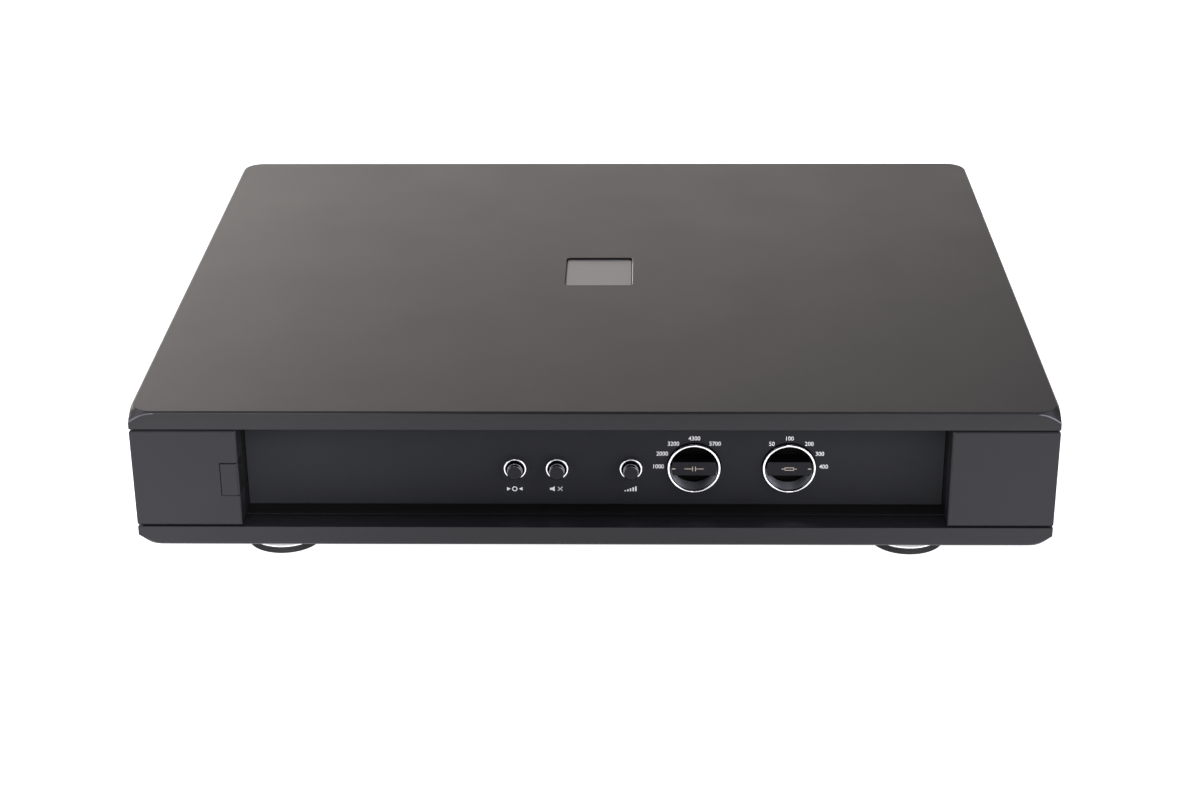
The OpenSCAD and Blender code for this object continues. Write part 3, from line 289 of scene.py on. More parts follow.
FINISHES = {
    "cover_finish": Look("cover", 0.36, 0, 0.31, 0.25, 0.1, mottle=45, tint=0.05),
    "case_finish": Look("case", 0.38, 0, 0.29, 0.25, 0.1, mottle=40, tint=0.05),
    # Also painted as shade on the power button's sides and the walls of its slot
    "recess_finish": Look("recess", 0.45, 0, 0.2, 0.3, 0.15),
    "fascia_finish": Look("fascia", 0.6, 0, 0.02),
    "plate_metal": Look("badge", 0.42, 0.7, depth=0.05, lines=(300, 9000, 300)),
    "panel_finish": Look("panel", 0.42, 0, 0.4, 0.3, 0.12),
    "sheet_steel": Look((0.50, 0.51, 0.52), 0.34, 1, lines=(200, 200, 6000)),
    "foot_rubber": Look("foot", 0.55, 0, 0.35, 0.15, 0.12),
    # The foot discs glow with painted light, though they are no lamps
    "foot_disc_white": Look("disc", 0.3, depth=0.03, tint=0.02, glow=0.45),
    "bright_screws": Look((0.62, 0.62, 0.63), 0.28, 1, grain=0.1, depth=0.06),
    "black_screws": Look((0.030, 0.030, 0.031), 0.38, 0.6, grain=0.1, depth=0.1),
    "bright_rod": Look((0.66, 0.66, 0.67), 0.22, 1, lines=(9000, 300, 9000)),
    "spring_wire": Look((0.58, 0.58, 0.59), 0.25, 1, grain=0.05, depth=0.05),
    # A bright metal on one edge alone, as a painted highlight
    "worn_edge": Look((0.85, 0.86, 0.90), 0.35, 1, depth=0.02),
    # A brighter metal on the corner curves, as a painted sheen
    "worn_corner": Look((0.17, 0.17, 0.18), 0.35, 1, depth=0.02),
    "switch_black": Look((0.020, 0.020, 0.021), 0.45, grain=0.15, depth=0.1),
    "dial_black": Look("dial", 0.3, 0, 0.12, 0.08, 0.02, tint=0.03),
    "bright_ring": Look("bright", 0.1, 1, grain=0.1, depth=0.01, tint=0.02),
    "button_gloss": Look((0.20, 0.20, 0.22), 0.1, 1, depth=0.005, spread=0.01),
    "turned_black": Look((0.27, 0.28, 0.30), 0.55, 1, turned=0.9),
    # A darker black than the dial's own, as painted shade deep in the dial pockets
    "pocket_black": Look((0.003, 0.003, 0.003), 0.4, 0, 0.1, 0.1),
    "wafer_brown": Look((0.19, 0.095, 0.030), 0.5, grain=0.3, depth=0.1, tint=0.2),
    "button_black": Look("button", 0.16, 0, 0.15, 0.08, 0.01, tint=0.03),
    "board_green": Look((0.014, 0.085, 0.030), 0.35, grain=1.2, depth=0.2, tint=0.35),
    "connector_black": Look((0.018, 0.018, 0.019), 0.42, grain=0.12, depth=0.12),
    "latch_steel": Look((0.30, 0.30, 0.31), 0.35, 0.9, lines=(6000, 300, 300)),
    "socket_gold": Look((0.83, 0.56, 0.20), 0.18, 1, grain=0.1, depth=0.03),
    "pillar_brass": Look((0.70, 0.47, 0.17), 0.28, 1, lines=(9000, 9000, 300)),
    "fuse_ceramic": Look((0.72, 0.71, 0.68), 0.35, grain=0.3),
    "transformer_tape": Look((0.62, 0.37, 0.06), 0.33, grain=1.5, depth=0.2, tint=0.2),
    "capacitor_blue": Look((0.018, 0.030, 0.075), 0.32, grain=0.4, depth=0.06),
    "capacitor_red": Look((0.36, 0.040, 0.025), 0.35, grain=0.4, depth=0.1),
    "wire_brown": Look((0.30, 0.075, 0.028), 0.42, grain=0.3),
    "ink_white": Look("ink", 0.5, 0, 0.3, 0.1, 0.05, tint=0.04),
    "ink_tan": Look("dial_ink", 0.5, 0, 0.3, 0.1, 0.05, tint=0.08),
    "insulator_white": Look((0.78, 0.78, 0.76), 0.35, depth=0.03),
    "insulator_red": Look((0.45, 0.015, 0.012), 0.35, depth=0.03),
    "blade_nickel": Look((0.55, 0.53, 0.48), 0.25, 1, grain=0.1, depth=0.05),
}


def finish(name):
    """The material of a finish, made the first time it is asked for."""
    title = "Preamp " + name.replace("_", " ")
    if title in bpy.data.materials:
        return bpy.data.materials[title]
    look = FINISHES[name]
    base = look.colour
    base = tuple(getattr(colours(), base)) if isinstance(base, str) else base
    material = bpy.data.materials.new(title)
    material.use_nodes = True
    material.diffuse_color = (*base, 1.0)
    tree = material.node_tree
    where = add(tree, "ShaderNodeTexCoord").outputs["Object"]
    values = {"Vector": where, "Grain Size": look.grain * MM, "Mottle Size": look.mottle * MM}
    grain = add(tree, "ShaderNodeGroup", values, node_tree=grain_group())
    height, shade = grain.outputs["Grain"], grain.outputs["Mottle"]
    if look.lines:
        values = {"Vector": where, "Stretch": look.lines}
        height = shade = result_of(tree, "ShaderNodeGroup", values, node_tree=brushed_group())
    darker, lighter = (
        (*(min(c * (1 + k * look.tint), 1.0) for c in base), 1.0) for k in (-1, 1)
    )
    tint = add(tree, "ShaderNodeMix", {0: shade, 6: darker, 7: lighter}, data_type="RGBA")
    rough = {"Value": shade, "To Min": look.rough - look.spread, "To Max": look.rough + look.spread}
    relief = {"Strength": look.depth, "Distance": 0.1 * MM, "Height": height}
    values = {
        "Metallic": look.metal,
        "IOR": 1.5,
        "Specular IOR Level": look.specular,
        "Base Color": tint.outputs[2],
        "Roughness": result_of(tree, "ShaderNodeMapRange", rough),
        "Normal": result_of(tree, "ShaderNodeBump", relief),
    }
    # Emission paints light onto the part
    if look.glow:
        values.update({"Emission Color": (*base, 1.0), "Emission Strength": look.glow})
    if look.turned:
        tangent = result_of(tree, "ShaderNodeTangent", direction_type="RADIAL", axis="Y")
        values.update({"Anisotropic": look.turned, "Anisotropic Rotation": 0.25})
        values["Tangent"] = tangent
    feed(tree, tree.nodes["Principled BSDF"], values)
    return material


# ---------------------------------------------------------------- mesh helpers


def facing_front(x, y, z):
    """Local X to the right, local Y up and local Z out of the front."""
    return Matrix(((1, 0, 0, x), (0, 0, -1, y), (0, 1, 0, z), (0, 0, 0, 1)))


def facing_rear(x, y, z):
    """Seen from behind: local X to the right, local Y up and local Z out of the back."""
    return Matrix(((-1, 0, 0, x), (0, 0, 1, y), (0, 1, 0, z), (0, 0, 0, 1)))


def box_of(node):
    """Lowest and highest corner of a CAD node, in millimetres."""
    low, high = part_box(node)
    return low / MM, high / MM


def round_of(low, high):
    """Middle and radius of a round piece, from its box."""
    return (low + high) / 2, (high.x - low.x) / 2


def near_sides(point, low, high, reach=0.5):
    """Whether a point is on one of the four upright outer faces."""
    return (
        point.x < low.x + reach
        or point.x > high.x - reach
        or point.y < low.y + reach
        or point.y > high.y - reach
    )


def merged(node):
    """A closed copy of a CAD node's mesh, in metres."""
    bm = bmesh.new()
    bm.from_mesh(frame["nodes"][node].data)
    bmesh.ops.remove_doubles(bm, verts=bm.verts[:], dist=1e-6)
    return bm


def solids_of(node):
    """Boxes of the separate solids of a CAD node, in millimetres."""
    bm = merged(node)
    waiting = set(bm.verts)
    boxes = []
    while waiting:
        island, edge = set(), [waiting.pop()]
        while edge:
            vert = edge.pop()
            island.add(vert)
            for link in vert.link_edges:
                other = link.other_vert(vert)
                if other in waiting:
                    waiting.discard(other)
                    edge.append(other)
        points = [v.co / MM for v in island]
        boxes.append([Vector(end(p[i] for p in points) for i in range(3)) for end in (min, max)])
    bm.free()
    return sorted(boxes, key=lambda b: tuple(round(c, 3) for c in b[0]))


def rounded(corners, closed=True, steps=4):
    """An outline of (across, along, radius) corners with the corners rounded."""
    points = []
    total = len(corners)
    for i, corner in enumerate(corners):
        here = complex(corner[0], corner[1])
        radius = corner[2] if len(corner) > 2 else 0.0
        if not radius or (not closed and i in (0, total - 1)):
            points.append((here.real, here.imag))
            continue
        before = complex(*corners[i - 1][:2]) - here
        after = complex(*corners[(i + 1) % total][:2]) - here
        before, after = before / abs(before), after / abs(after)
        cross = before.real * after.imag - before.imag * after.real
        dot = before.real * after.real + before.imag * after.imag
        half = abs(math.atan2(cross, dot)) / 2
        middle = (before + after) / abs(before + after)
        centre = here + middle * radius / math.sin(half)
        start = here + before * radius / math.tan(half) - centre
        sweep = (math.pi - 2 * half) * (-1 if cross > 0 else 1)
        for k in range(steps + 1):
            turn = sweep * k / steps
            spot = centre + start * complex(math.cos(turn), math.sin(turn))
            points.append((spot.real, spot.imag))
    return points


def lathe(bm, outline, segments=64, closed=False, reach=None, place=None):
    """Turns an outline of (radius, height) points about local Z. An open outline ends on the
    axis. reach(angle, point index) scales a radius."""
    rings, made = [], []
    for index, (radius, height) in enumerate(outline):
        if radius < 1e-6:
            rings.append([bm.verts.new((0, 0, height))])
            continue
        ring = []
        for i in range(segments):
            angle = 2 * math.pi * i / segments
            r = radius * (reach(angle, index) if reach else 1.0)
            ring.append(bm.verts.new((r * math.cos(angle), r * math.sin(angle), height)))
        rings.append(ring)
    pairs = list(zip(rings, rings[1:]))
    if closed:
        pairs.append((rings[-1], rings[0]))
    for low, high in pairs:
        for i in range(segments):
            j = (i + 1) % segments
            if len(low) == 1 and len(high) == 1:
                continue
            if len(low) == 1:
                corners = (low[0], high[j], high[i])
            elif len(high) == 1:
                corners = (low[i], low[j], high[0])
            else:
                corners = (low[i], low[j], high[j], high[i])
            made.append(bm.faces.new(corners))
    bmesh.ops.recalc_face_normals(bm, faces=made)
    if place is not None:
        bmesh.ops.transform(bm, matrix=place, verts=[v for ring in rings for v in ring])


def prism(bm, outline, thick, place):
    """A flat outline in local X and Y, raised to a thickness along Z."""
    bottom = [bm.verts.new((x, y, 0.0)) for x, y in outline]
    top = [bm.verts.new((x, y, thick)) for x, y in outline]
    made = [bm.faces.new(bottom[::-1]), bm.faces.new(top)]
    for i in range(len(outline)):
        j = (i + 1) % len(outline)
        made.append(bm.faces.new((bottom[i], bottom[j], top[j], top[i])))
    bmesh.ops.recalc_face_normals(bm, faces=made)
    bmesh.ops.transform(bm, matrix=place, verts=bottom + top)


def slab(bm, x0, y0, x1, y1, thick, place):
    prism(bm, [(x0, y0), (x1, y0), (x1, y1), (x0, y1)], thick, place)


def hexagon(angle):
    """How far a hexagon reaches at an angle, as a share of its corners' reach."""
    fold = (angle + math.pi / 6) % (math.pi / 3) - math.pi / 6
    return math.cos(math.pi / 6) / math.cos(fold)


def linked(name, data):
    """A new object in the scene."""
    thing = bpy.data.objects.new(name, data)
    bpy.context.scene.collection.objects.link(thing)
    return thing


def mesh_of(bm, name, scaled=True):
    """A mesh with smooth faces and sharp edges, from one in millimetres unless scaled is off."""
    if scaled:
        bm.transform(SCALE_IN)
        bm.normal_update()
    mesh = bpy.data.meshes.new(name)
    bm.to_mesh(mesh)
    bm.free()
    mesh.polygons.foreach_set("use_smooth", [True] * len(mesh.polygons))
    mesh.set_sharp_from_angle(angle=SMOOTH_ANGLE)
    return mesh


def piece_from(bm, name, body, *materials):
    """Makes a piece of a mesh that was built in millimetres in the row frame."""
    piece = linked(name, mesh_of(bm, name))
    for material in materials:
        piece.data.materials.append(finish(material))
    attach(piece, body)
    return piece


def finished(bm, node, body, *materials):
    """Makes the piece that takes a CAD node's place, and hides the node"""
    piece = piece_from(bm, "finished_" + node, body, *materials)
    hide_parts(node)


def applied(piece):
    """Turns the result of a piece's modifiers into its own plain mesh."""
    graph = bpy.context.evaluated_depsgraph_get()
    mesh = bpy.data.meshes.new_from_object(
        piece.evaluated_get(graph), preserve_all_data_layers=True, depsgraph=graph
    )
    piece.modifiers.clear()
    piece.data = mesh


def softened(node, slot, body=CASE, width=None, chosen=None, segments=3, extra=()):
    """A copy of a CAD node with rounded edges. chosen(point) gives an edge's share of the width
    by its middle in millimetres. extra lists (finish, test) for faces, and later ones win."""
    bm = merged(node)
    bmesh.ops.dissolve_limit(bm, angle_limit=FLAT_ANGLE, verts=bm.verts[:], edges=bm.edges[:])
    weight = bm.edges.layers.float.new("bevel_weight_edge")
    for edge in bm.edges:
        if len(edge.link_faces) == 2 and edge.calc_face_angle(0.0) >= EDGE_ANGLE:
            middle = (edge.verts[0].co + edge.verts[1].co) / 2 / MM
            edge[weight] = 1.0 if chosen is None else float(chosen(middle))
    for index, (other, test) in enumerate(extra, 1):
        for face in bm.faces:
            if test(face.calc_center_median() / MM):
                face.material_index = index
    name = "finished_" + node
    piece = linked(name, mesh_of(bm, name, scaled=False))
    for material in (slot, *(other for other, test in extra)):
        piece.data.materials.append(finish(material))
    bevel = piece.modifiers.new("Soften", "BEVEL")
    bevel.width = width or sizes().edge_round
    bevel.segments = segments
    bevel.limit_method = "WEIGHT"
    bevel.harden_normals = True
    bevel.use_clamp_overlap = True
    applied(piece)
    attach(piece, body)
    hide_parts(node)
    return piece


def paint_faces(piece, slot, test):
    """Gives the faces that test(middle in millimetres, normal) picks another finish."""
    mesh = piece.data
    mesh.materials.append(finish(slot))
    for face in mesh.polygons:
        if test(face.center / MM, face.normal):
            face.material_index = len(mesh.materials) - 1


def repaint(node, slot):
    """Gives a carried-over CAD node its material."""
    target = frame["nodes"][node]
    if not target.material_slots:
        target.data.materials.append(finish(slot))
    for place in target.material_slots:
        place.material = finish(slot)


# ---------------------------------------------------------------- geometry node trees


def geometry_tree(name, inputs):
    """A Geometry Nodes tree with a geometry input and output and the named inputs."""
    group, source, result = new_group(
        name,
        "GeometryNodeTree",
        [("Geometry", "Geometry"), *inputs, ("Finish", "Material")],
        [("Geometry", "Geometry")],
    )
    group.is_modifier = True
    return group, source, result


def close_tree(group, source, result, geometry):
    """Ends a tree in Realize Instances and Set Material."""
    real = result_of(group, "GeometryNodeRealizeInstances", {"Geometry": geometry})
    values = {"Geometry": real, "Material": source["Finish"]}
    painted = result_of(group, "GeometryNodeSetMaterial", values)
    smooth = result_of(group, "GeometryNodeSetShadeSmooth", {0: painted})
    group.links.new(smooth, result.inputs[0])
    return group


def instances(group, points, instance, **others):
    values = {"Points": points, "Instance": instance, **others}
    return result_of(group, "GeometryNodeInstanceOnPoints", values)


def swept(group, curve, radius, sides, **others):
    """A round section along a curve."""
    values = {"Resolution": sides, "Radius": radius}
    section = result_of(group, "GeometryNodeCurvePrimitiveCircle", values)
    values = {"Curve": curve, "Profile Curve": section, **others}
    return result_of(group, "GeometryNodeCurveToMesh", values)


def risen(group, height):
    """A vector straight up."""
    return result_of(group, "ShaderNodeCombineXYZ", {"Z": height})


@once("Copies On Points")
def copies_tree(name):
    """Copies of one piece, turned alike, on the points of a mesh."""
    inputs = [("Copy", "Object"), ("Turn", "Rotation"), ("Size", "Float", 1.0)]
    group, source, result = geometry_tree(name, inputs)
    copy = add(group, "GeometryNodeObjectInfo", {"Object": source["Copy"]}).outputs["Geometry"]
    placed = instances(
        group, source["Geometry"], copy, Rotation=source["Turn"], Scale=source["Size"]
    )
    return close_tree(group, source, result, placed)


@once("Ring Ribs")
def ribs_tree(name):
    """Half-round ribs, one above the other, round each point of a mesh."""
    inputs = [
        ("Ring Radius", "Float", 0.018),
        ("Rib Radius", "Float", 0.0004),
        ("Pitch", "Float", 0.0008),
        ("Count", "Int", 4),
    ]
    group, source, result = geometry_tree(name, inputs)
    values = {"Resolution": 96, "Radius": source["Ring Radius"]}
    ring = result_of(group, "GeometryNodeCurvePrimitiveCircle", values)
    rib = swept(group, ring, source["Rib Radius"], 10)
    values = {"Count": source["Count"], "Offset": risen(group, source["Pitch"])}
    stack = result_of(group, "GeometryNodeMeshLine", values)
    placed = instances(group, source["Geometry"], instances(group, stack, rib))
    return close_tree(group, source, result, placed)


@once("Coil Spring")
def spring_tree(name):
    """A coil spring along local Z, with a closed turn at each end."""
    inputs = [
        ("Coil Radius", "Float", 0.0023),
        ("Wire Radius", "Float", 0.00025),
        ("Length", "Float", 0.007),
        ("Turns", "Int", 6),
    ]
    group, source, result = geometry_tree(name, inputs)
    wire, coil, whole = source["Wire Radius"], source["Coil Radius"], source["Length"]
    lead, closed, both = (maths(group, "MULTIPLY", wire, k) for k in (2.0, 3.0, 6.0))
    rise, last = (maths(group, "SUBTRACT", whole, part) for part in (both, closed))
    coils = []
    for turns, height, start in (
        (1.0, lead, wire),
        (source["Turns"], rise, closed),
        (1.0, lead, last),
    ):
        values = {"Resolution": 20, "Rotations": turns, "Height": height, "Reverse": False}
        values.update({"Start Radius": coil, "End Radius": coil})
        curve = result_of(group, "GeometryNodeCurveSpiral", values)
        values = {"Geometry": curve, "Translation": risen(group, start)}
        coils.append(result_of(group, "GeometryNodeTransform", values))
    joined = add(group, "GeometryNodeJoinGeometry")
    for curve in reversed(coils):
        group.links.new(curve, joined.inputs[0])
    drawn = swept(group, joined.outputs[0], wire, 8, **{"Fill Caps": True})
    return close_tree(group, source, result, drawn)


def grown(name, tree, points, values, material, place=None):
    """Runs a tree on points in millimetres and returns the plain piece it makes."""
    mesh = bpy.data.meshes.new(name)
    mesh.from_pydata([Vector(p) * MM for p in points], [], [])
    piece = linked(name, mesh)
    modifier = piece.modifiers.new("Build", "NODES")
    modifier.node_group = tree
    labels = {
        item.name: item.identifier
        for item in tree.interface.items_tree
        if item.item_type == "SOCKET" and item.in_out == "INPUT"
    }
    for label, value in {**values, "Finish": finish(material)}.items():
        modifier[labels[label]] = value
    applied(piece)
    if place is not None:
        place.translation = place.translation * MM
        piece.data.transform(place)
    if not piece.data.polygons:
        raise RuntimeError(f"{name} came out empty")
    return piece


def copied(name, template, points, turn, material):
    """Copies of a template mesh, built in millimetres, on the given points."""
    one = bpy.data.objects.new(name + "_template", mesh_of(template, name + "_template"))
    values = {"Copy": one, "Turn": turn, "Size": 1.0}
    piece = grown(name, copies_tree(), points, values, material)
    bpy.data.objects.remove(one)
    return piece


# ---------------------------------------------------------------- operators


class PREAMP_OT_top_cover(Operator):
    """Rounds the edges of the top cover, gives it its satin finish and paints highlights on it"""

    bl_idname = "preamp.top_cover"
    bl_label = "Top cover"

    def execute(self, context):
        low, high = box_of("top_cover")
        plate_low, plate_high = box_of("badge_plate")

        reach, start, end = 12.0, 0.95, 6.5  # length of a corner curve, and its drops
        rim, skirt = 1.6, 9.2  # drops of the lowest rounded edges, of the top and of the sides
        narrow = 0.55  # share of the width at all edges but the corner curves

        def corner(point):
            """On the curves where the cones of the corners meet the upright faces."""
            across = min(point.x - low.x, high.x - point.x)
            along = min(point.y - low.y, high.y - point.y)
            return max(across, along) < reach and start < high.z - point.z < end

        def share(point):
            drop = high.z - point.z
            outer = drop < rim or (drop < skirt and near_sides(point, low, high))
            return 1.0 if corner(point) else narrow * outer

        def pocket_edge(point, normal):
            """On the right edge of the pocket that holds the badge plate, which gets a painted
            highlight.
            """
            return (
                plate_high.x < point.x < plate_high.x + 1
                and plate_low.y - 1 < point.y < plate_high.y + 1
                and normal.x < -0.1
                and 0.1 < normal.z < 0.95
            )

        cover = softened("top_cover", "cover_finish", width=sizes().cover_round, chosen=share)
        # The corner curves get a brighter metal as a painted sheen
        paint_faces(cover, "worn_corner", lambda p, n: corner(p) and 0.12 < n.z < 0.66)
        # The right edge of the badge pocket gets bright metal as a painted highlight
        paint_faces(cover, "worn_edge", pocket_edge)
        return {"FINISHED"}


class PREAMP_OT_base(Operator):
    """Rounds the edges of the base"""

    bl_idname = "preamp.base"
    bl_label = "Base"

    def execute(self, context):
        low, high = box_of("base")

        sheet = 1.2  # height of the edges of its bottom

        def outer(point):
            return point.z < low.z + sheet or near_sides(point, low, high)

        softened("base", "case_finish", chosen=outer)
        return {"FINISHED"}


class PREAMP_OT_side_frames(Operator):
    """Rounds the edges of the two side frames with their front blocks"""

    bl_idname = "preamp.side_frames"
    bl_label = "Side frames"

    def execute(self, context):
        low, high = box_of("left_side_frame")
        button_low, button_high = box_of("power_button")

        near, gap = 0.1, 0.6  # reach of the front's long edges, and of the button's slot

        def share(point):
            rim = min(point.z - low.z, high.z - point.z) < near
            return 1.0 if rim and point.y < low.y + near else 0.3

        # The walls of the power button's slot get the black lining as painted shade
        def slot_wall(point):
            return (
                point.y > low.y + 2 * near
                and button_low.x - gap < point.x < button_high.x + gap
                and button_low.z - gap < point.z < button_high.z + gap
            )

        width, painted_shade_walls = sizes().block_round, [("recess_finish", slot_wall)]
        for node in ("left_side_frame", "right_side_frame"):
            softened(node, "case_finish", width=width, chosen=share, extra=painted_shade_walls)
        return {"FINISHED"}


class PREAMP_OT_recess(Operator):
    """Lines the front recess and fits the fascia panel at the back of it"""

    bl_idname = "preamp.recess"
    bl_label = "Recess and fascia"

    def execute(self, context):
        softened("recess_surround", "recess_finish", width=sizes().sheet_round)
        softened("fascia_panel", "fascia_finish", width=sizes().sheet_round)
        return {"FINISHED"}


class PREAMP_OT_badge(Operator):
    """Fits the bare satin plate in the top cover"""

    bl_idname = "preamp.badge"
    bl_label = "Badge plate"

    def execute(self, context):
        settings = sizes()
        plate = softened("badge_plate", "plate_metal", width=settings.plate_round)
        low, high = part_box("badge_plate")
        middle = Vector(((low.x + high.x) / 2, (low.y + high.y) / 2, low.z))
        spread = 1.0 - 2 * settings.badge_play / (high.x - low.x)
        thin = 1.0 - settings.badge_sink / (high.z - low.z)
        plate.data.transform(
            Matrix.Translation(middle)
            @ Matrix.Diagonal((spread, spread, thin, 1.0))
            @ Matrix.Translation(-middle)
        )
        return {"FINISHED"}


class PREAMP_OT_feet(Operator):
    """Turns the four feet with their ribs and bright discs, and the seats for their screws"""

    bl_idname = "preamp.feet"
    bl_label = "Feet"

    def execute(self, context):
        settings = sizes()
        neck = mm(settings.neck_radius)
        pitch = mm(settings.rib_pitch)
        rib = mm(settings.rib_radius)
        feet, discs = solids_of("feet"), solids_of("foot_discs")
        radius, height = round_of(*feet[0])[1], feet[0][1].z
        disc, ring, top = round_of(*discs[0])[1], discs[0][0].z, discs[0][1].z
        spots = [((low + high) / 2).to_2d() for low, high in feet]
        core = radius - rib
        bore, seat, sunk = 2.25, 4.7, 3.0  # hole, recess and depth for the screw
        foot = [(seat, 0.0, 0.3), (core, 0.0, 0.3), (core, ring, 0.2), (neck, ring, 0.3)]
        foot += [(neck, height), (bore, height), (bore, sunk), (seat, sunk)]
        collar = neck + 0.05
        cap = [(collar, ring), (disc, ring, 0.2), (disc, top, 0.3), (collar, top)]
        for node, material, outline in (
            ("feet", "foot_rubber", foot),
            ("foot_discs", "foot_disc_white", cap),
        ):
            bm = bmesh.new()
            for spot in spots:
                place = Matrix.Translation((spot.x, spot.y, 0.0))
                lathe(bm, rounded(outline), 96, True, place=place)
            finished(bm, node, CASE, material)
        ribs = int((ring - 2 * rib) / pitch + 1e-6) + 1
        first = (ring - (ribs - 1) * pitch) / 2
        points = [(spot.x, spot.y, first) for spot in spots]
        values = {"Ring Radius": core * MM, "Rib Radius": rib * MM}
        values.update({"Pitch": pitch * MM, "Count": ribs})
        piece = grown("foot_ribs", ribs_tree(), points, values, "foot_rubber")
        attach(piece, CASE)
        return {"FINISHED"}


class PREAMP_OT_power_button(Operator):
    """Rounds the edges of the power button and finishes its push rod"""

    bl_idname = "preamp.power_button"
    bl_label = "Power button"

    def execute(self, context):
        settings = sizes()
        face = box_of("power_button")[0].y
        button = softened(
            "power_button",
            "case_finish",
            "power_push",
            settings.power_round,
            # Faces behind the button's front get the black lining as painted shade in its gap
            extra=[("recess_finish", lambda p: p.y > face + 0.6)],
        )
        button.data.transform(Matrix.Translation((0.0, 0.0, -settings.button_sag)))
        softened("power_push_rod", "bright_rod", "power_push", settings.moulding_round)
        return {"FINISHED"}


class PREAMP_OT_dials(Operator):
    """Turns the two dials with their cups, finger bars and bright rims"""

    bl_idname = "preamp.dials"
    bl_label = "Dials"

    def knob(self, side, middle, inner):
        """The cup and its bar, with painted shade deep in its pockets and turned pocket walls."""
        front = box_of(side + "_knob")[0].y
        deep, bore = front + 9.6, 3.3  # end of what shows, and reach of the spindle's hole
        seam, play = 0.12, 0.3

        def away(point):
            return (point.xz - middle.xz).length

        def visible(point):
            return point.y < deep and away(point) > bore

        def wall(point):
            return abs(away(point) - inner) < seam and front < point.y < deep

        # Faces deep in the pockets, which get a darker black as painted shade
        def floor(point):
            return front + 2.0 < point.y < deep + play

        softened(
            side + "_knob",
            "dial_black",
            side + "_dial",
            sizes().bar_round,
            visible,
            segments=4,
            extra=[("pocket_black", floor), ("turned_black", wall)],
        )

    def execute(self, context):
        width, soft = mm(sizes().rim_width), mm(sizes().rim_round)
        for side in DIALS:
            low, high = box_of(side + "_knob_rim")
            middle, radius = round_of(low, high)
            inner, back = radius - width, low.y - high.y
            outline = [(inner, back), (radius, back), (radius, 0.0, soft), (inner, 0.0, soft)]
            place = facing_front(middle.x, low.y, middle.z)
            bm = bmesh.new()
            lathe(bm, rounded(outline, steps=6), 128, True, place=place)
            finished(bm, side + "_knob_rim", side + "_dial", "bright_ring")
            self.knob(side, middle, inner)
            repaint(side + "_spindle", "bright_rod")
        return {"FINISHED"}


class PREAMP_OT_push_buttons(Operator):
    """Turns the three push buttons and the bright bezels round them"""

    bl_idname = "preamp.push_buttons"
    bl_label = "Push buttons"

    def execute(self, context):
        settings = sizes()
        soft, dome = mm(settings.rim_round), mm(settings.cap_dome)
        fascia = box_of("fascia_panel")[0].y
        bm = bmesh.new()
        for low, high in solids_of("button_bezels"):
            middle, outer = round_of(low, high)
            bore = outer - mm(settings.bezel_width)
            sleeve = bore + 0.5
            seat, back = low.y - fascia, low.y - high.y
            outline = [(bore, 0.0, soft), (outer, 0.0, soft), (outer, seat)]
            outline += [(sleeve, seat), (sleeve, back), (bore, back)]
            place = facing_front(middle.x, low.y, middle.z)
            lathe(bm, rounded(outline, steps=6), 96, True, place=place)
        finished(bm, "button_bezels", CASE, "bright_ring")
        for button in BUTTONS:
            low, high = box_of(button + "_button")
            middle, radius = round_of(low, high)
            stem, deep, back = 1.5, low.y - fascia - 1.0, low.y - high.y
            outline = [
                (0.0, 0.0),
                (radius * 0.55, -dome * 0.3),
                (radius, -dome, mm(settings.cap_round)),
                (radius, deep, 0.2),
                (stem, deep),
                (stem, back, 0.3),
                (0.0, back),
            ]
            place = facing_front(middle.x, low.y, middle.z)
            bm = bmesh.new()
            lathe(bm, rounded(outline, closed=False, steps=6), 96, place=place)
            for face in bm.faces:
                face.material_index = int(face.calc_center_median().y > low.y + 0.14)
            finished(bm, button + "_button", button + "_push", "button_black", "button_gloss")
        return {"FINISHED"}


# Angle, text and lift in millimetres of the numbers round each dial
NUMBERS = {
    "capacitance": (
        (180, "1000", 0.6),
        (150, "2000", 0.2),
        (120, "3200", 0.2),
        (90, "4300", 1.05),
        (60, "5700", 0.2),
    ),
    "load": (
        (120, "50", 0.2),
        (90, "100", 1.05),
        (60, "200", 0.2),
        (30, "300", 0.2),
        (0, "400", 0.6),
    ),
}

# Opposite corners, in millimetres, of the strokes of the capacitor and resistor signs
SIGNS = {
    "capacitance": (
        (-4.6, -0.16, -0.55, 0.16),
        (-0.85, -1.2, -0.5, 1.2),
        (0.5, -1.2, 0.85, 1.2),
        (0.55, -0.16, 4.6, 0.16),
    ),
    "load": (
        (-3.6, -0.16, -2.0, 0.16),
        (2.0, -0.16, 3.6, 0.16),
        (-2.2, 0.5, 2.2, 0.82),
        (-2.2, -0.82, 2.2, -0.5),
        (-2.2, -0.5, -1.88, 0.5),
        (1.88, -0.5, 2.2, 0.5),
    ),
}
# Middles, across and up in millimetres, of the marks under the buttons
BUTTON_MARKS = ((-38.42, 28.68), (-18.23, 28.72), (17.17, 28.79))
POINTER = {"capacitance": (-10.5, -0.25, -8.9, 0.25), "load": (8.9, -0.25, 10.5, 0.25)}


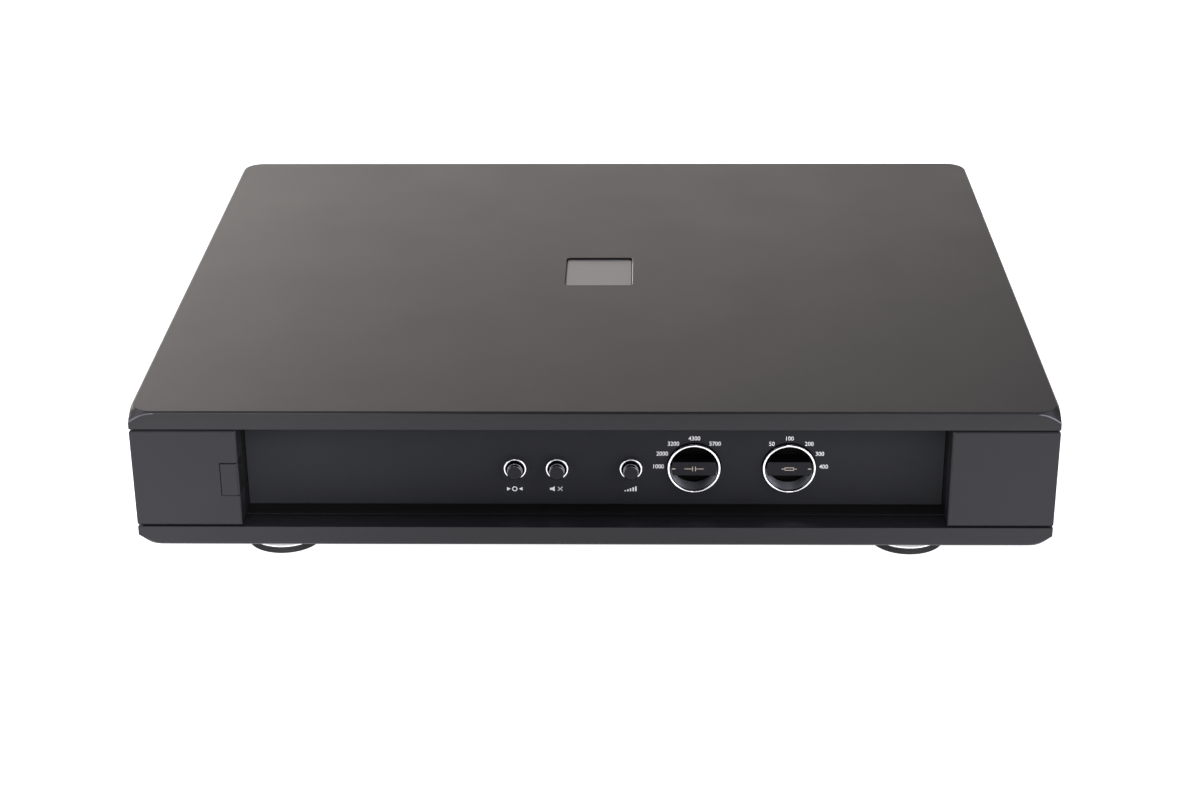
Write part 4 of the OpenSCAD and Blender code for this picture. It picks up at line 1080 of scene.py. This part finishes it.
class PREAMP_OT_legends(Operator):
    """Prints the numbers round the dials and the marks on the controls"""

    bl_idname = "preamp.legends"
    bl_label = "Numbers and marks"

    def number(self, bm, text, across, up, side, place):
        """Adds a number whose edge or middle is at (across, up)."""
        letters = bpy.data.curves.new("number", "FONT")
        letters.body = text
        letters.size = 1.0
        letters.offset = 0.006
        letters.resolution_u = 3
        thing = linked("number", letters)
        graph = bpy.context.evaluated_depsgraph_get()
        flat = bpy.data.meshes.new_from_object(thing.evaluated_get(graph))
        xs, ys = ([v.co[i] for v in flat.vertices] for i in (0, 1))
        scale = mm(sizes().digit_height) / (max(ys) - min(ys))
        narrow = 0.92 * scale
        anchor = {"left": min(xs), "right": max(xs), "middle": (min(xs) + max(xs)) / 2}[side]
        flat.transform(
            place
            @ Matrix.Translation((across, up, 0.0))
            @ Matrix.Diagonal((narrow, scale, 1, 1))
            @ Matrix.Translation((-anchor, -(min(ys) + max(ys)) / 2, 0.0))
        )
        bm.from_mesh(flat)
        bpy.data.objects.remove(thing)
        bpy.data.curves.remove(letters)
        bpy.data.meshes.remove(flat)

    def numbers(self, fascia, thick):
        bm = bmesh.new()
        for dial, labels in NUMBERS.items():
            middle, radius = round_of(*box_of(dial + "_knob_rim"))
            place = facing_front(middle.x, fascia - thick, middle.z)
            reach = radius + mm(sizes().digit_gap)
            for angle, text, lift in labels:
                side = "middle" if angle == 90 else "left" if angle < 90 else "right"
                across = 0.0 if angle == 90 else reach * math.cos(math.radians(angle))
                up = reach * math.sin(math.radians(angle)) + lift
                self.number(bm, text, across, up, side, place)
        fronts, rims = bm.faces[:], [edge.verts[:] for edge in bm.edges if edge.is_boundary]
        behind = {v: bm.verts.new(v.co + Vector((0.0, thick, 0.0))) for v in bm.verts[:]}
        for face in fronts:
            bm.faces.new([behind[v] for v in reversed(face.verts[:])])
        for a, b in rims:
            bm.faces.new((a, b, behind[b], behind[a]))
        bmesh.ops.recalc_face_normals(bm, faces=bm.faces[:])
        piece_from(bm, "dial_numbers", CASE, "ink_white")

    def button_marks(self, fascia, thick):
        """A ring between two arrows, a crossed loudspeaker and a rising scale."""
        bm = bmesh.new()
        mono, mute, gain = (facing_front(x, fascia, z) for x, z in BUTTON_MARKS)
        lathe(bm, [(0.85, 0.0), (1.3, 0.0), (1.3, thick), (0.85, thick)], 40, True, place=mono)
        for s in (-1, 1):
            prism(bm, [(s * 3.75, -0.95), (s * 3.75, 0.95), (s * 1.95, 0.0)], thick, mono)
        speaker = [(-3.3, -0.55), (-3.3, 0.55), (-2.3, 0.55)]
        speaker += [(-1.0, 1.3), (-1.0, -1.3), (-2.3, -0.55)]
        prism(bm, speaker, thick, mute)
        for s in (-1, 1):
            arm = [(0.55, -s - 0.2), (0.55, -s + 0.2), (2.75, s + 0.2), (2.75, s - 0.2)]
            prism(bm, arm, thick, mute)
        foot, width, pitch, rise = -1.3, 0.72, 1.28, 0.52
        for i in range(5):
            x = -2.9 + pitch * i
            slab(bm, x, foot, x + width, foot + rise * (i + 1), thick, gain)
        piece_from(bm, "button_marks", CASE, "ink_white")

    def execute(self, context):
        thick = mm(sizes().ink_height)
        fascia = box_of("fascia_panel")[0].y
        self.numbers(fascia, thick)
        self.button_marks(fascia, thick)
        for dial in DIALS:
            low, high = box_of(dial + "_knob_rim")
            middle = (low + high) / 2
            place = facing_front(middle.x, low.y + 0.5, middle.z)
            bm = bmesh.new()
            for stroke in (POINTER[dial], *SIGNS[dial]):
                slab(bm, *stroke, thick, place)
            piece_from(bm, dial + "_marks", dial + "_dial", "ink_tan")
        return {"FINISHED"}


class PREAMP_OT_rear_panel(Operator):
    """Rounds the edges of the rear panel and its openings"""

    bl_idname = "preamp.rear_panel"
    bl_label = "Rear panel"

    def execute(self, context):
        softened("rear_panel", "panel_finish", width=sizes().panel_round, segments=2)
        return {"FINISHED"}


class PREAMP_OT_balanced_sockets(Operator):
    """Finishes the balanced sockets with their contacts and latches"""

    bl_idname = "preamp.balanced_sockets"
    bl_label = "Balanced sockets"

    def contacts(self, node):
        """Middles of the three contacts of a balanced socket."""
        low, high = box_of(node)
        middle = (low + high) / 2
        turns = [math.radians(-angle) for angle in (30, 150, 270)]
        reach = 5.7
        return [
            Vector((middle.x - reach * math.cos(a), middle.z + reach * math.sin(a))) for a in turns
        ]

    def execute(self, context):
        settings = sizes()
        mould = settings.moulding_round
        out = box_of("rear_panel")[1].y

        pocket, contact_end = out - 10.4, out + 2.6
        pin_reach = 1.25

        def proud(point):
            return point.y > out + 0.3

        ends = []
        for node in ("balanced_input_left", "balanced_input_right"):
            softened(node, "connector_black", width=mould, chosen=proud)
            ends += [(s.x, contact_end, s.y) for s in self.contacts(node)]
        softened(
            "input_inserts",
            "connector_black",
            width=settings.insert_round,
            chosen=lambda p: p.y > out,
        )
        tube = bmesh.new()
        bore, outer, deep = 0.78, 1.2, -9.0
        outline = [(bore, deep), (outer, deep), (outer, 0.0, 0.12), (bore, 0.0, 0.12)]
        lathe(tube, rounded(outline), 20, True)
        backwards = (math.radians(-90), 0.0, 0.0)
        tubes = copied("input_contacts", tube, ends, backwards, "socket_gold")
        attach(tubes, CASE)
        for node in ("balanced_output_left", "balanced_output_right"):
            spots = self.contacts(node)

            def pin(point, spots=spots):
                away = min((point.xz - s).length for s in spots)
                return away < pin_reach and point.y > pocket

            pins = [("socket_gold", pin)]
            softened(node, "connector_black", width=mould, chosen=proud, extra=pins)
        for side in ("left", "right"):
            node, body = "input_latch_" + side, side + "_latch"
            softened(node, "latch_steel", body, settings.tab_round)
        return {"FINISHED"}


class PREAMP_OT_phono_sockets(Operator):
    """Turns the phono sockets with their sleeves and coloured insulators"""

    bl_idname = "preamp.phono_sockets"
    bl_label = "Phono sockets"

    def outlines(self, tip):
        """Sleeve with its nut, centre contact and insulator, for a sleeve as long as tip."""
        bore, sleeve, core, thread, flange = 3.55, 4.15, 1.72, 4.7, 6.0
        body = [(bore, tip, 0.2), (bore, 2.4), (core, 2.4), (core, -9.8), (thread, -9.8, 0.3)]
        body += [(thread, 0.0), (flange, 0.0), (flange, 2.0, 0.35)]
        body += [(sleeve, 2.0, 0.15), (sleeve, tip, 0.25)]
        end = tip - 1.6
        contact = [(1.0, 3.0), (1.6, 3.0), (1.6, end, 0.1), (1.0, end, 0.3)]
        end = tip - 1.2
        insulator = [(1.62, 2.45), (3.5, 2.45), (3.5, end, 0.25), (1.62, end, 0.35)]
        return [rounded(outline) for outline in (body, contact, insulator)]

    def execute(self, context):
        out = box_of("rear_panel")[1].y
        for node in ("input_sockets", "output_sockets"):
            gold, white, red = bmesh.new(), bmesh.new(), bmesh.new()
            for i, (low, high) in enumerate(solids_of(node)):
                middle = (low + high) / 2
                place = facing_rear(middle.x, out, middle.z)
                body, contact, insulator = self.outlines(high.y - out)
                lathe(gold, body, 64, True, place=place)
                lathe(gold, contact, 32, True, place=place)
                lathe(red if i % 2 else white, insulator, 48, True, place=place)
            finished(gold, node, CASE, "socket_gold")
            piece_from(white, node + "_white_cores", CASE, "insulator_white")
            piece_from(red, node + "_red_cores", CASE, "insulator_red")
        return {"FINISHED"}


class PREAMP_OT_earth_terminal(Operator):
    """Turns the earth post with its thread and the fluted thumb nut"""

    bl_idname = "preamp.earth_terminal"
    bl_label = "Earth terminal"

    def post(self, out):
        low, high = box_of("earth_post")
        middle = (low + high) / 2
        place = facing_rear(middle.x, out, middle.z)
        tip = high.y - out
        crest, groove, step = 2.0, 0.22, 0.35
        flange = [(0.0, 0.0), (5.5, 0.0), (5.5, 1.8), (5.25, 2.0), (crest, 2.0)]
        thread = [
            (crest - groove * (i % 2), 2.2 + step * i) for i in range(int((tip - 3.0) / step))
        ]
        outline = flange + thread + [(1.6, tip), (0.0, tip)]
        bm = bmesh.new()
        lathe(bm, outline, 60, reach=lambda a, i: hexagon(a) if i < 4 else 1.0, place=place)
        stud = [(0.0, 0.0), (2.9, 0.0), (2.9, -9.6), (2.5, -10.0), (0.0, -10.0)]
        lathe(bm, stud, 40, place=place)
        finished(bm, "earth_post", CASE, "socket_gold")

    def nut(self):
        low, high = box_of("earth_nut")
        middle = (low + high) / 2
        thick = high.y - low.y
        flutes = sizes().nut_flutes
        outline = [(2.06, 0.0), (4.7, 0.0), (5.5, 0.7), (5.5, thick - 0.9), (4.6, thick - 0.1)]
        outline += [(4.3, thick), (2.4, thick), (2.06, thick - 0.35)]

        def fluted(angle, index):
            if index not in (2, 3):
                return 1.0
            return 1.0 - 0.075 * max(0.0, math.cos(flutes * angle)) ** 1.5

        bm = bmesh.new()
        place = facing_rear(middle.x, low.y, middle.z)
        lathe(bm, outline, flutes * 10, True, fluted, place)
        finished(bm, "earth_nut", "earth_thumb_nut", "socket_gold")

    def execute(self, context):
        self.post(box_of("rear_panel")[1].y)
        self.nut()
        return {"FINISHED"}


class PREAMP_OT_mains_inlet(Operator):
    """Finishes the mains inlet, its blades and the fuse drawer"""

    bl_idname = "preamp.mains_inlet"
    bl_label = "Mains inlet"

    def execute(self, context):
        settings = sizes()
        out = box_of("rear_panel")[1].y
        low, high = box_of("mains_inlet")
        middle = (low + high) / 2
        blades = [(0.0, 8.0), (-7.0, 4.0), (7.0, 4.0)]  # from the middle of the inlet
        wide, tall = 1.05, 2.05  # reach of a blade from its own middle
        root, tip = out - 11.9, out + 0.6

        def metal(point):
            return root < point.y < tip and any(
                abs(point.x - middle.x - x) < wide and abs(point.z - middle.z - z) < tall
                for x, z in blades
            )

        softened(
            "mains_inlet",
            "connector_black",
            width=settings.moulding_round,
            chosen=lambda p: p.y > out - 3.0,
            extra=[("blade_nickel", metal)],
        )
        softened(
            "fuse_drawer",
            "connector_black",
            "fuse_tray",
            settings.tab_round,
            chosen=lambda p: p.y > out + 2.0,
        )
        repaint("fuse", "fuse_ceramic")
        return {"FINISHED"}


DOWN, BACK, UP = (0, 0, -1), (0, 1, 0), (0, 0, 1)
# Node, finish, head radius and height, shank radius, direction of the head
SCREWS = (
    ("cover_screws", "black_screws", 3.6, 2.6, 2.0, DOWN),
    ("foot_screws", "black_screws", 4.0, 2.0, 2.0, DOWN),
    ("rear_panel_screws", "black_screws", 2.8, 1.8, 1.5, BACK),
    ("connector_screws", "black_screws", 2.8, 1.8, 1.5, BACK),
    ("board_screws", "bright_screws", 2.4, 1.6, 1.25, UP),
)


class PREAMP_OT_screws(Operator):
    """Turns the screws, with hexagon sockets in their heads"""

    bl_idname = "preamp.screws"
    bl_label = "Screws"

    def screw(self, head, height, shank, reach):
        """A button-head screw that stands on its seat, head up, from its radii and lengths."""
        shares = ((0.0, 0.35), (0.42, 0.42), (0.50, 0.98), (0.62, 1.0))
        shares += ((0.84, 0.93), (0.96, 0.72), (1.0, 0.4), (1.0, 0.0))
        outline = [(head * across, height * up) for across, up in shares]
        outline += [(shank, 0.0), (shank, 0.35 - reach), (shank * 0.7, -reach), (0.0, -reach)]
        bm = bmesh.new()
        lathe(bm, outline, 48, reach=lambda a, i: hexagon(a) if i in (1, 2) else 1.0)
        return bm

    def seats(self, node, head_height, out):
        """Seats of a node's screws, by their direction and the length of their shanks."""
        groups = {}
        for low, high in solids_of(node):
            size = high - low
            way = Vector(out)
            if node == "board_screws" and size.y > size.z:
                way = Vector(BACK)
            axis = max(range(3), key=lambda i: abs(way[i]))
            seat = (low + high) / 2
            far = high if way[axis] > 0 else low
            seat[axis] = far[axis] - way[axis] * head_height
            key = (tuple(way), round(size[axis] - head_height, 3))
            groups.setdefault(key, []).append(tuple(seat))
        return sorted(groups.items())

    def execute(self, context):
        for node, material, head, height, shank, out in SCREWS:
            for i, ((way, reach), seats) in enumerate(self.seats(node, height, out)):
                turn = Vector(UP).rotation_difference(Vector(way)).to_euler()
                bm = self.screw(head, height, shank, reach)
                name = f"finished_{node}" + (f"_{i + 1}" if i else "")
                part = copied(name, bm, seats, tuple(turn), material)
                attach(part, CASE)
            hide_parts(node)
        return {"FINISHED"}


class PREAMP_OT_springs(Operator):
    """Winds the return springs"""

    bl_idname = "preamp.springs"
    bl_label = "Springs"

    def execute(self, context):
        settings = sizes()
        plan = [(b + "_spring", b + "_press", settings.button_wire) for b in BUTTONS]
        plan.append(("power_button_spring", "power_press", settings.power_wire))
        for node, joint, wire in plan:
            low, high = box_of(node)
            middle, radius = round_of(low, high)
            span = (high.y - low.y) * MM
            values = {"Coil Radius": (radius - mm(wire)) * MM, "Wire Radius": wire}
            values.update({"Length": span, "Turns": settings.spring_turns})
            place = facing_front(middle.x, high.y, middle.z)
            piece = grown(
                "finished_" + node, spring_tree(), [(0, 0, 0)], values, "spring_wire", place
            )
            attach(piece, CASE)
            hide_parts(node)
            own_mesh(piece)
        return {"FINISHED"}


class PREAMP_OT_inner_parts(Operator):
    """Gives the parts inside the case their materials"""

    bl_idname = "preamp.inner_parts"
    bl_label = "Inner parts"

    def execute(self, context):
        for row in frame["record"]["subparts"]:
            repaint(row["node"], row["material_slot"])
        return {"FINISHED"}


WARM, COOL = (1.0, 0.937, 0.897), (0.98, 0.97, 1.06)
# Azimuth from the back towards the right, elevation and radius in degrees, strength and colour
# of the screens that light the case
SCREENS = (
    (-35, 4.5, 31, 4.05, WARM),
    (-5, 4.5, 31, 1.70, WARM),
    (112, 25, 27, 3.60, COOL),
    (-112, 25, 27, 2.30, COOL),
    (90, 47, 34, 0.80, COOL),
    (-90, 47, 34, 2.20, COOL),
    (140, 12, 37, 1.20, COOL),
    (180, 12, 37, 0.20, COOL),
    (180, 45, 37, 0.30, COOL),
)
ROOM_LIGHT = 0.012  # between the screens
FLOOR_GLOW = 1.05
FLOOR_RINGS, FLOOR_SIDES = (0.4, 1.0, 2.5), 64
# Name, side and power of the lamps that light the fascia
LAMPS = (("left_lamp", -1, 0.14), ("right_lamp", 1, 0.10))
LAMP_SPOT, LAMP_AIM = (0.17, -0.5, 0.25), (0.24, -0.185, 0.05)
LAMP_SIZE, LAMP_SPREAD = 0.2, 45  # edge in metres, beam in degrees
LAMP_COLOUR = (0.97, 0.96, 1.0)
CAMERA_SPOT = (0.02049, -1.15705, 0.52599)
CAMERA_TURN = (-1.0199, 24.4192, -0.3547)  # degrees to the right, down and rolled
CAMERA_LENS = 69.43


def direction(yaw, pitch):
    """A unit vector from the angle from the back towards the right and the angle up."""
    return Vector(
        (math.sin(yaw) * math.cos(pitch), math.cos(yaw) * math.cos(pitch), math.sin(pitch))
    )


class PREAMP_OT_stage(Operator):
    """Sets up the pale floor, the soft light and the camera"""

    bl_idname = "preamp.stage"
    bl_label = "Floor, light and camera"

    def sky(self, scene):
        """Dim all round, with soft glows where the studio's screens stand."""
        world = bpy.data.worlds.new("studio")
        scene.world = world
        world.use_nodes = True
        tree = world.node_tree
        view = add(tree, "ShaderNodeTexCoord").outputs["Generated"]
        total = result_of(tree, "ShaderNodeCombineXYZ", {i: ROOM_LIGHT for i in range(3)})
        for azimuth, elevation, radius, strength, tone in SCREENS:
            way = direction(math.radians(azimuth), math.radians(elevation))
            near = vector_maths(tree, "DOT_PRODUCT", {0: view, 1: way})["Value"]
            values = {"Value": near, "From Min": math.cos(math.radians(radius)), "From Max": 1.0}
            values["To Max"] = strength
            glow = result_of(tree, "ShaderNodeMapRange", values, interpolation_type="SMOOTHSTEP")
            tinted = vector_maths(tree, "SCALE", {0: tone, "Scale": glow})[0]
            total = vector_maths(tree, "ADD", {0: total, 1: tinted})[0]
        tree.links.new(total, tree.nodes["Background"].inputs["Color"])

    def lamp(self, name, side, power):
        """A small soft lamp with a narrow beam, out of the camera's view."""
        light = bpy.data.lights.new(name, "AREA")
        light.size = LAMP_SIZE
        light.energy = power
        light.spread = math.radians(LAMP_SPREAD)
        light.color = LAMP_COLOUR
        thing = linked(name, light)
        mirror = Vector((side, 1, 1))
        spot, aim = Vector(LAMP_SPOT) * mirror, Vector(LAMP_AIM) * mirror
        thing.location = spot
        thing.rotation_euler = (aim - spot).to_track_quat("-Z", "Y").to_euler()
        thing.visible_camera = False

    def floor(self):
        bm = bmesh.new()
        angles = [2 * math.pi * i / FLOOR_SIDES for i in range(FLOOR_SIDES)]
        middle = bm.verts.new((0, 0, 0))
        last = None
        for r in (*FLOOR_RINGS, sizes().floor_radius):
            ring = [bm.verts.new((r * math.cos(a), r * math.sin(a), 0)) for a in angles]
            for i in range(FLOOR_SIDES):
                j = (i + 1) % FLOOR_SIDES
                face = (last[i], ring[i], ring[j], last[j]) if last else (middle, ring[i], ring[j])
                bm.faces.new(face)
            last = ring
        mesh = bpy.data.meshes.new("floor")
        bm.to_mesh(mesh)
        bm.free()
        material = bpy.data.materials.new("studio_floor")
        material.use_nodes = True
        tree = material.node_tree
        where = add(tree, "ShaderNodeTexCoord").outputs["Object"]
        noise = add(tree, "ShaderNodeTexNoise", {"Vector": where, "Scale": 3.0}).outputs["Fac"]
        dark, pale = (
            (*(min(c * share, 1.0) for c in colours().floor), 1.0) for share in (0.99, 1.01)
        )
        shade = add(tree, "ShaderNodeMix", {0: noise, 6: dark, 7: pale}, data_type="RGBA")
        values = {"Base Color": shade.outputs[2], "Emission Color": shade.outputs[2]}
        values.update({"Emission Strength": FLOOR_GLOW, "Roughness": 0.9})
        values["Specular IOR Level"] = 0.0
        feed(tree, tree.nodes["Principled BSDF"], values)
        mesh.materials.append(material)
        linked("floor", mesh)

    def camera(self, scene):
        """Stands before the middle of the case and looks down at it."""
        yaw, pitch, roll = (math.radians(a) for a in CAMERA_TURN)
        ahead = direction(yaw, -pitch)
        right = ahead.cross(Vector((0, 0, 1))).normalized()
        turned = right * math.cos(roll) + right.cross(ahead) * math.sin(roll)
        data = bpy.data.cameras.new("camera")
        data.lens = CAMERA_LENS
        data.sensor_width = 36.0
        data.clip_end = 100.0
        thing = linked("camera", data)
        matrix = Matrix((turned, turned.cross(ahead), -ahead)).transposed().to_4x4()
        matrix.translation = CAMERA_SPOT
        thing.matrix_world = matrix
        scene.camera = thing

    def execute(self, context):
        scene = context.scene
        scene.view_settings.view_transform = "Standard"
        self.sky(scene)
        self.floor()
        for lamp in LAMPS:
            self.lamp(*lamp)
        self.camera(scene)
        return {"FINISHED"}


OPERATORS = (
    PREAMP_OT_top_cover,
    PREAMP_OT_base,
    PREAMP_OT_side_frames,
    PREAMP_OT_recess,
    PREAMP_OT_badge,
    PREAMP_OT_feet,
    PREAMP_OT_power_button,
    PREAMP_OT_dials,
    PREAMP_OT_push_buttons,
    PREAMP_OT_legends,
    PREAMP_OT_rear_panel,
    PREAMP_OT_balanced_sockets,
    PREAMP_OT_phono_sockets,
    PREAMP_OT_earth_terminal,
    PREAMP_OT_mains_inlet,
    PREAMP_OT_screws,
    PREAMP_OT_springs,
    PREAMP_OT_inner_parts,
    PREAMP_OT_stage,
)


class PREAMP_PT_panel(Panel):
    """Lists the steps that build the preamp"""

    bl_idname = "PREAMP_PT_panel"
    bl_label = "Phono preamp"
    bl_space_type = "VIEW_3D"
    bl_region_type = "UI"
    bl_category = "Preamp"

    def draw(self, context):
        layout = self.layout
        for group in (context.scene.preamp_sizes, context.scene.preamp_colours):
            box = layout.box()
            for name in group.__annotations__:
                box.prop(group, name)
        for operator in OPERATORS:
            layout.operator(operator.bl_idname)


CLASSES = (PreampSizes, PreampColours, *OPERATORS, PREAMP_PT_panel)


def register():
    for cls in CLASSES:
        bpy.utils.register_class(cls)
    bpy.types.Scene.preamp_sizes = PointerProperty(type=PreampSizes)
    bpy.types.Scene.preamp_colours = PointerProperty(type=PreampColours)


def unregister():
    del bpy.types.Scene.preamp_colours
    del bpy.types.Scene.preamp_sizes
    for cls in reversed(CLASSES):
        bpy.utils.unregister_class(cls)


def main():
    """Builds every piece in order."""
    register()
    for operator in OPERATORS:
        group, name = operator.bl_idname.split(".")
        getattr(getattr(bpy.ops, group), name)()


if __name__ == "__main__":
    main()
